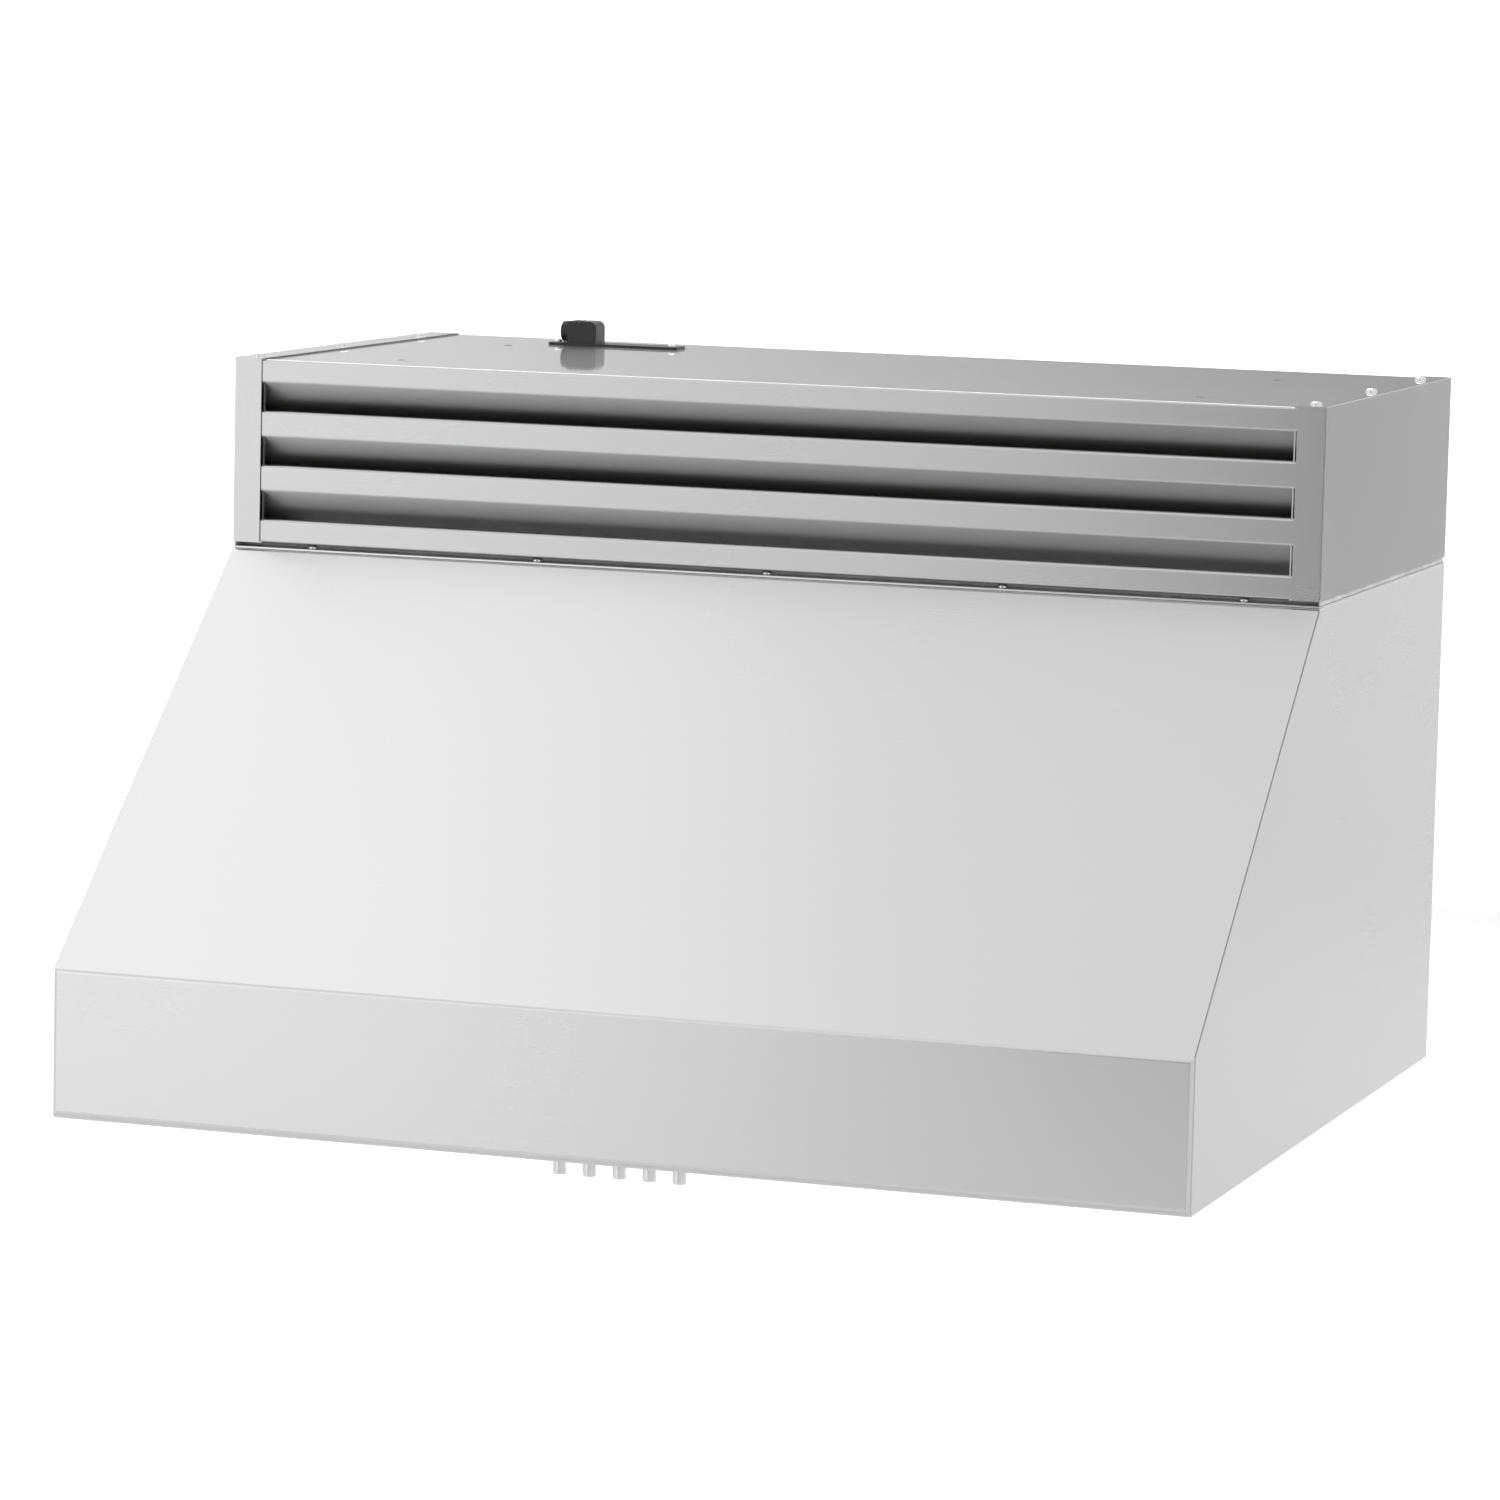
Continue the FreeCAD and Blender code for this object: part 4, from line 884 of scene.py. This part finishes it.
# Grey cards for the steel to reflect, which the camera doesn't see. Their tone fades from left to right.
cards = {"besideCamera": {"x": (-1.5, 0.9), "y": -3.5, "z": (-0.60, 0.7), "fade": (-0.62, -0.38),
                          "tones": (0.98, 0.03)},
         "behindHood": {"x": (-4.6, 0.8), "y": 6.0, "z": (0.2, 2.2), "fade": (-4.0, -0.5),
                        "tones": (0.50, 0.15)}}


def greyCard(name, card):
    mesh = bpy.data.meshes.new(name)
    (left, right), y, (foot, head) = card["x"], card["y"], card["z"]
    corners = [(left, y, foot), (right, y, foot), (right, y, head), (left, y, head)]
    mesh.from_pydata(corners, [], [(0, 1, 2, 3)])
    board = bpy.data.objects.new(name, mesh)
    scene.collection.objects.link(board)
    shader = Shader(name)
    across = shader.add("ShaderNodeSeparateXYZ", {}, {"Vector": shader.position}, out="X")
    start, end = card["tones"]
    fade = shader.ramp(across, *card["fade"]) * (end - start)
    shade = start + fade + (shader.noise(300.0) - 0.5) * 0.02
    shader.surface(colour=shader.tinted(shade), rough=0.9)
    paint(board, shader.material)
    board.visible_camera = False


view = {"aim": (0.0, 0.0147, -0.0136), "azimuth": 18.56, "elevation": 7.06, "distance": 4.265,
        "roll": 1.387, "lens": 153.06, "shiftX": -0.0218, "shiftY": -0.001}


def makeCamera():
    data = bpy.data.cameras.new("studioCamera")
    data.lens = view["lens"]
    data.sensor_width = 36.0
    data.shift_x = view["shiftX"]
    data.shift_y = view["shiftY"]
    data.clip_end = 200.0
    camera = bpy.data.objects.new("studioCamera", data)
    target = (cadLow + cadHigh) / 2 + Vector(view["aim"])
    azimuth, elevation = math.radians(view["azimuth"]), math.radians(view["elevation"])
    back = Vector((math.sin(azimuth) * math.cos(elevation), -math.cos(azimuth) * math.cos(elevation),
                   math.sin(elevation)))
    roll = Matrix.Rotation(math.radians(view["roll"]), 3, "Z")
    turn = (-back).to_track_quat("-Z", "Y").to_matrix() @ roll
    camera.matrix_world = Matrix.Translation(target + back * view["distance"]) @ turn.to_4x4()
    scene.collection.objects.link(camera)
    scene.camera = camera


studioSweep()
studioAir(0.8)
for name, card in cards.items():
    greyCard(name, card)
for name, lamp in lamps.items():
    softLight(name, **lamp)
makeCamera()
scene.view_settings.view_transform = "Standard"
print("room, lights and camera set")
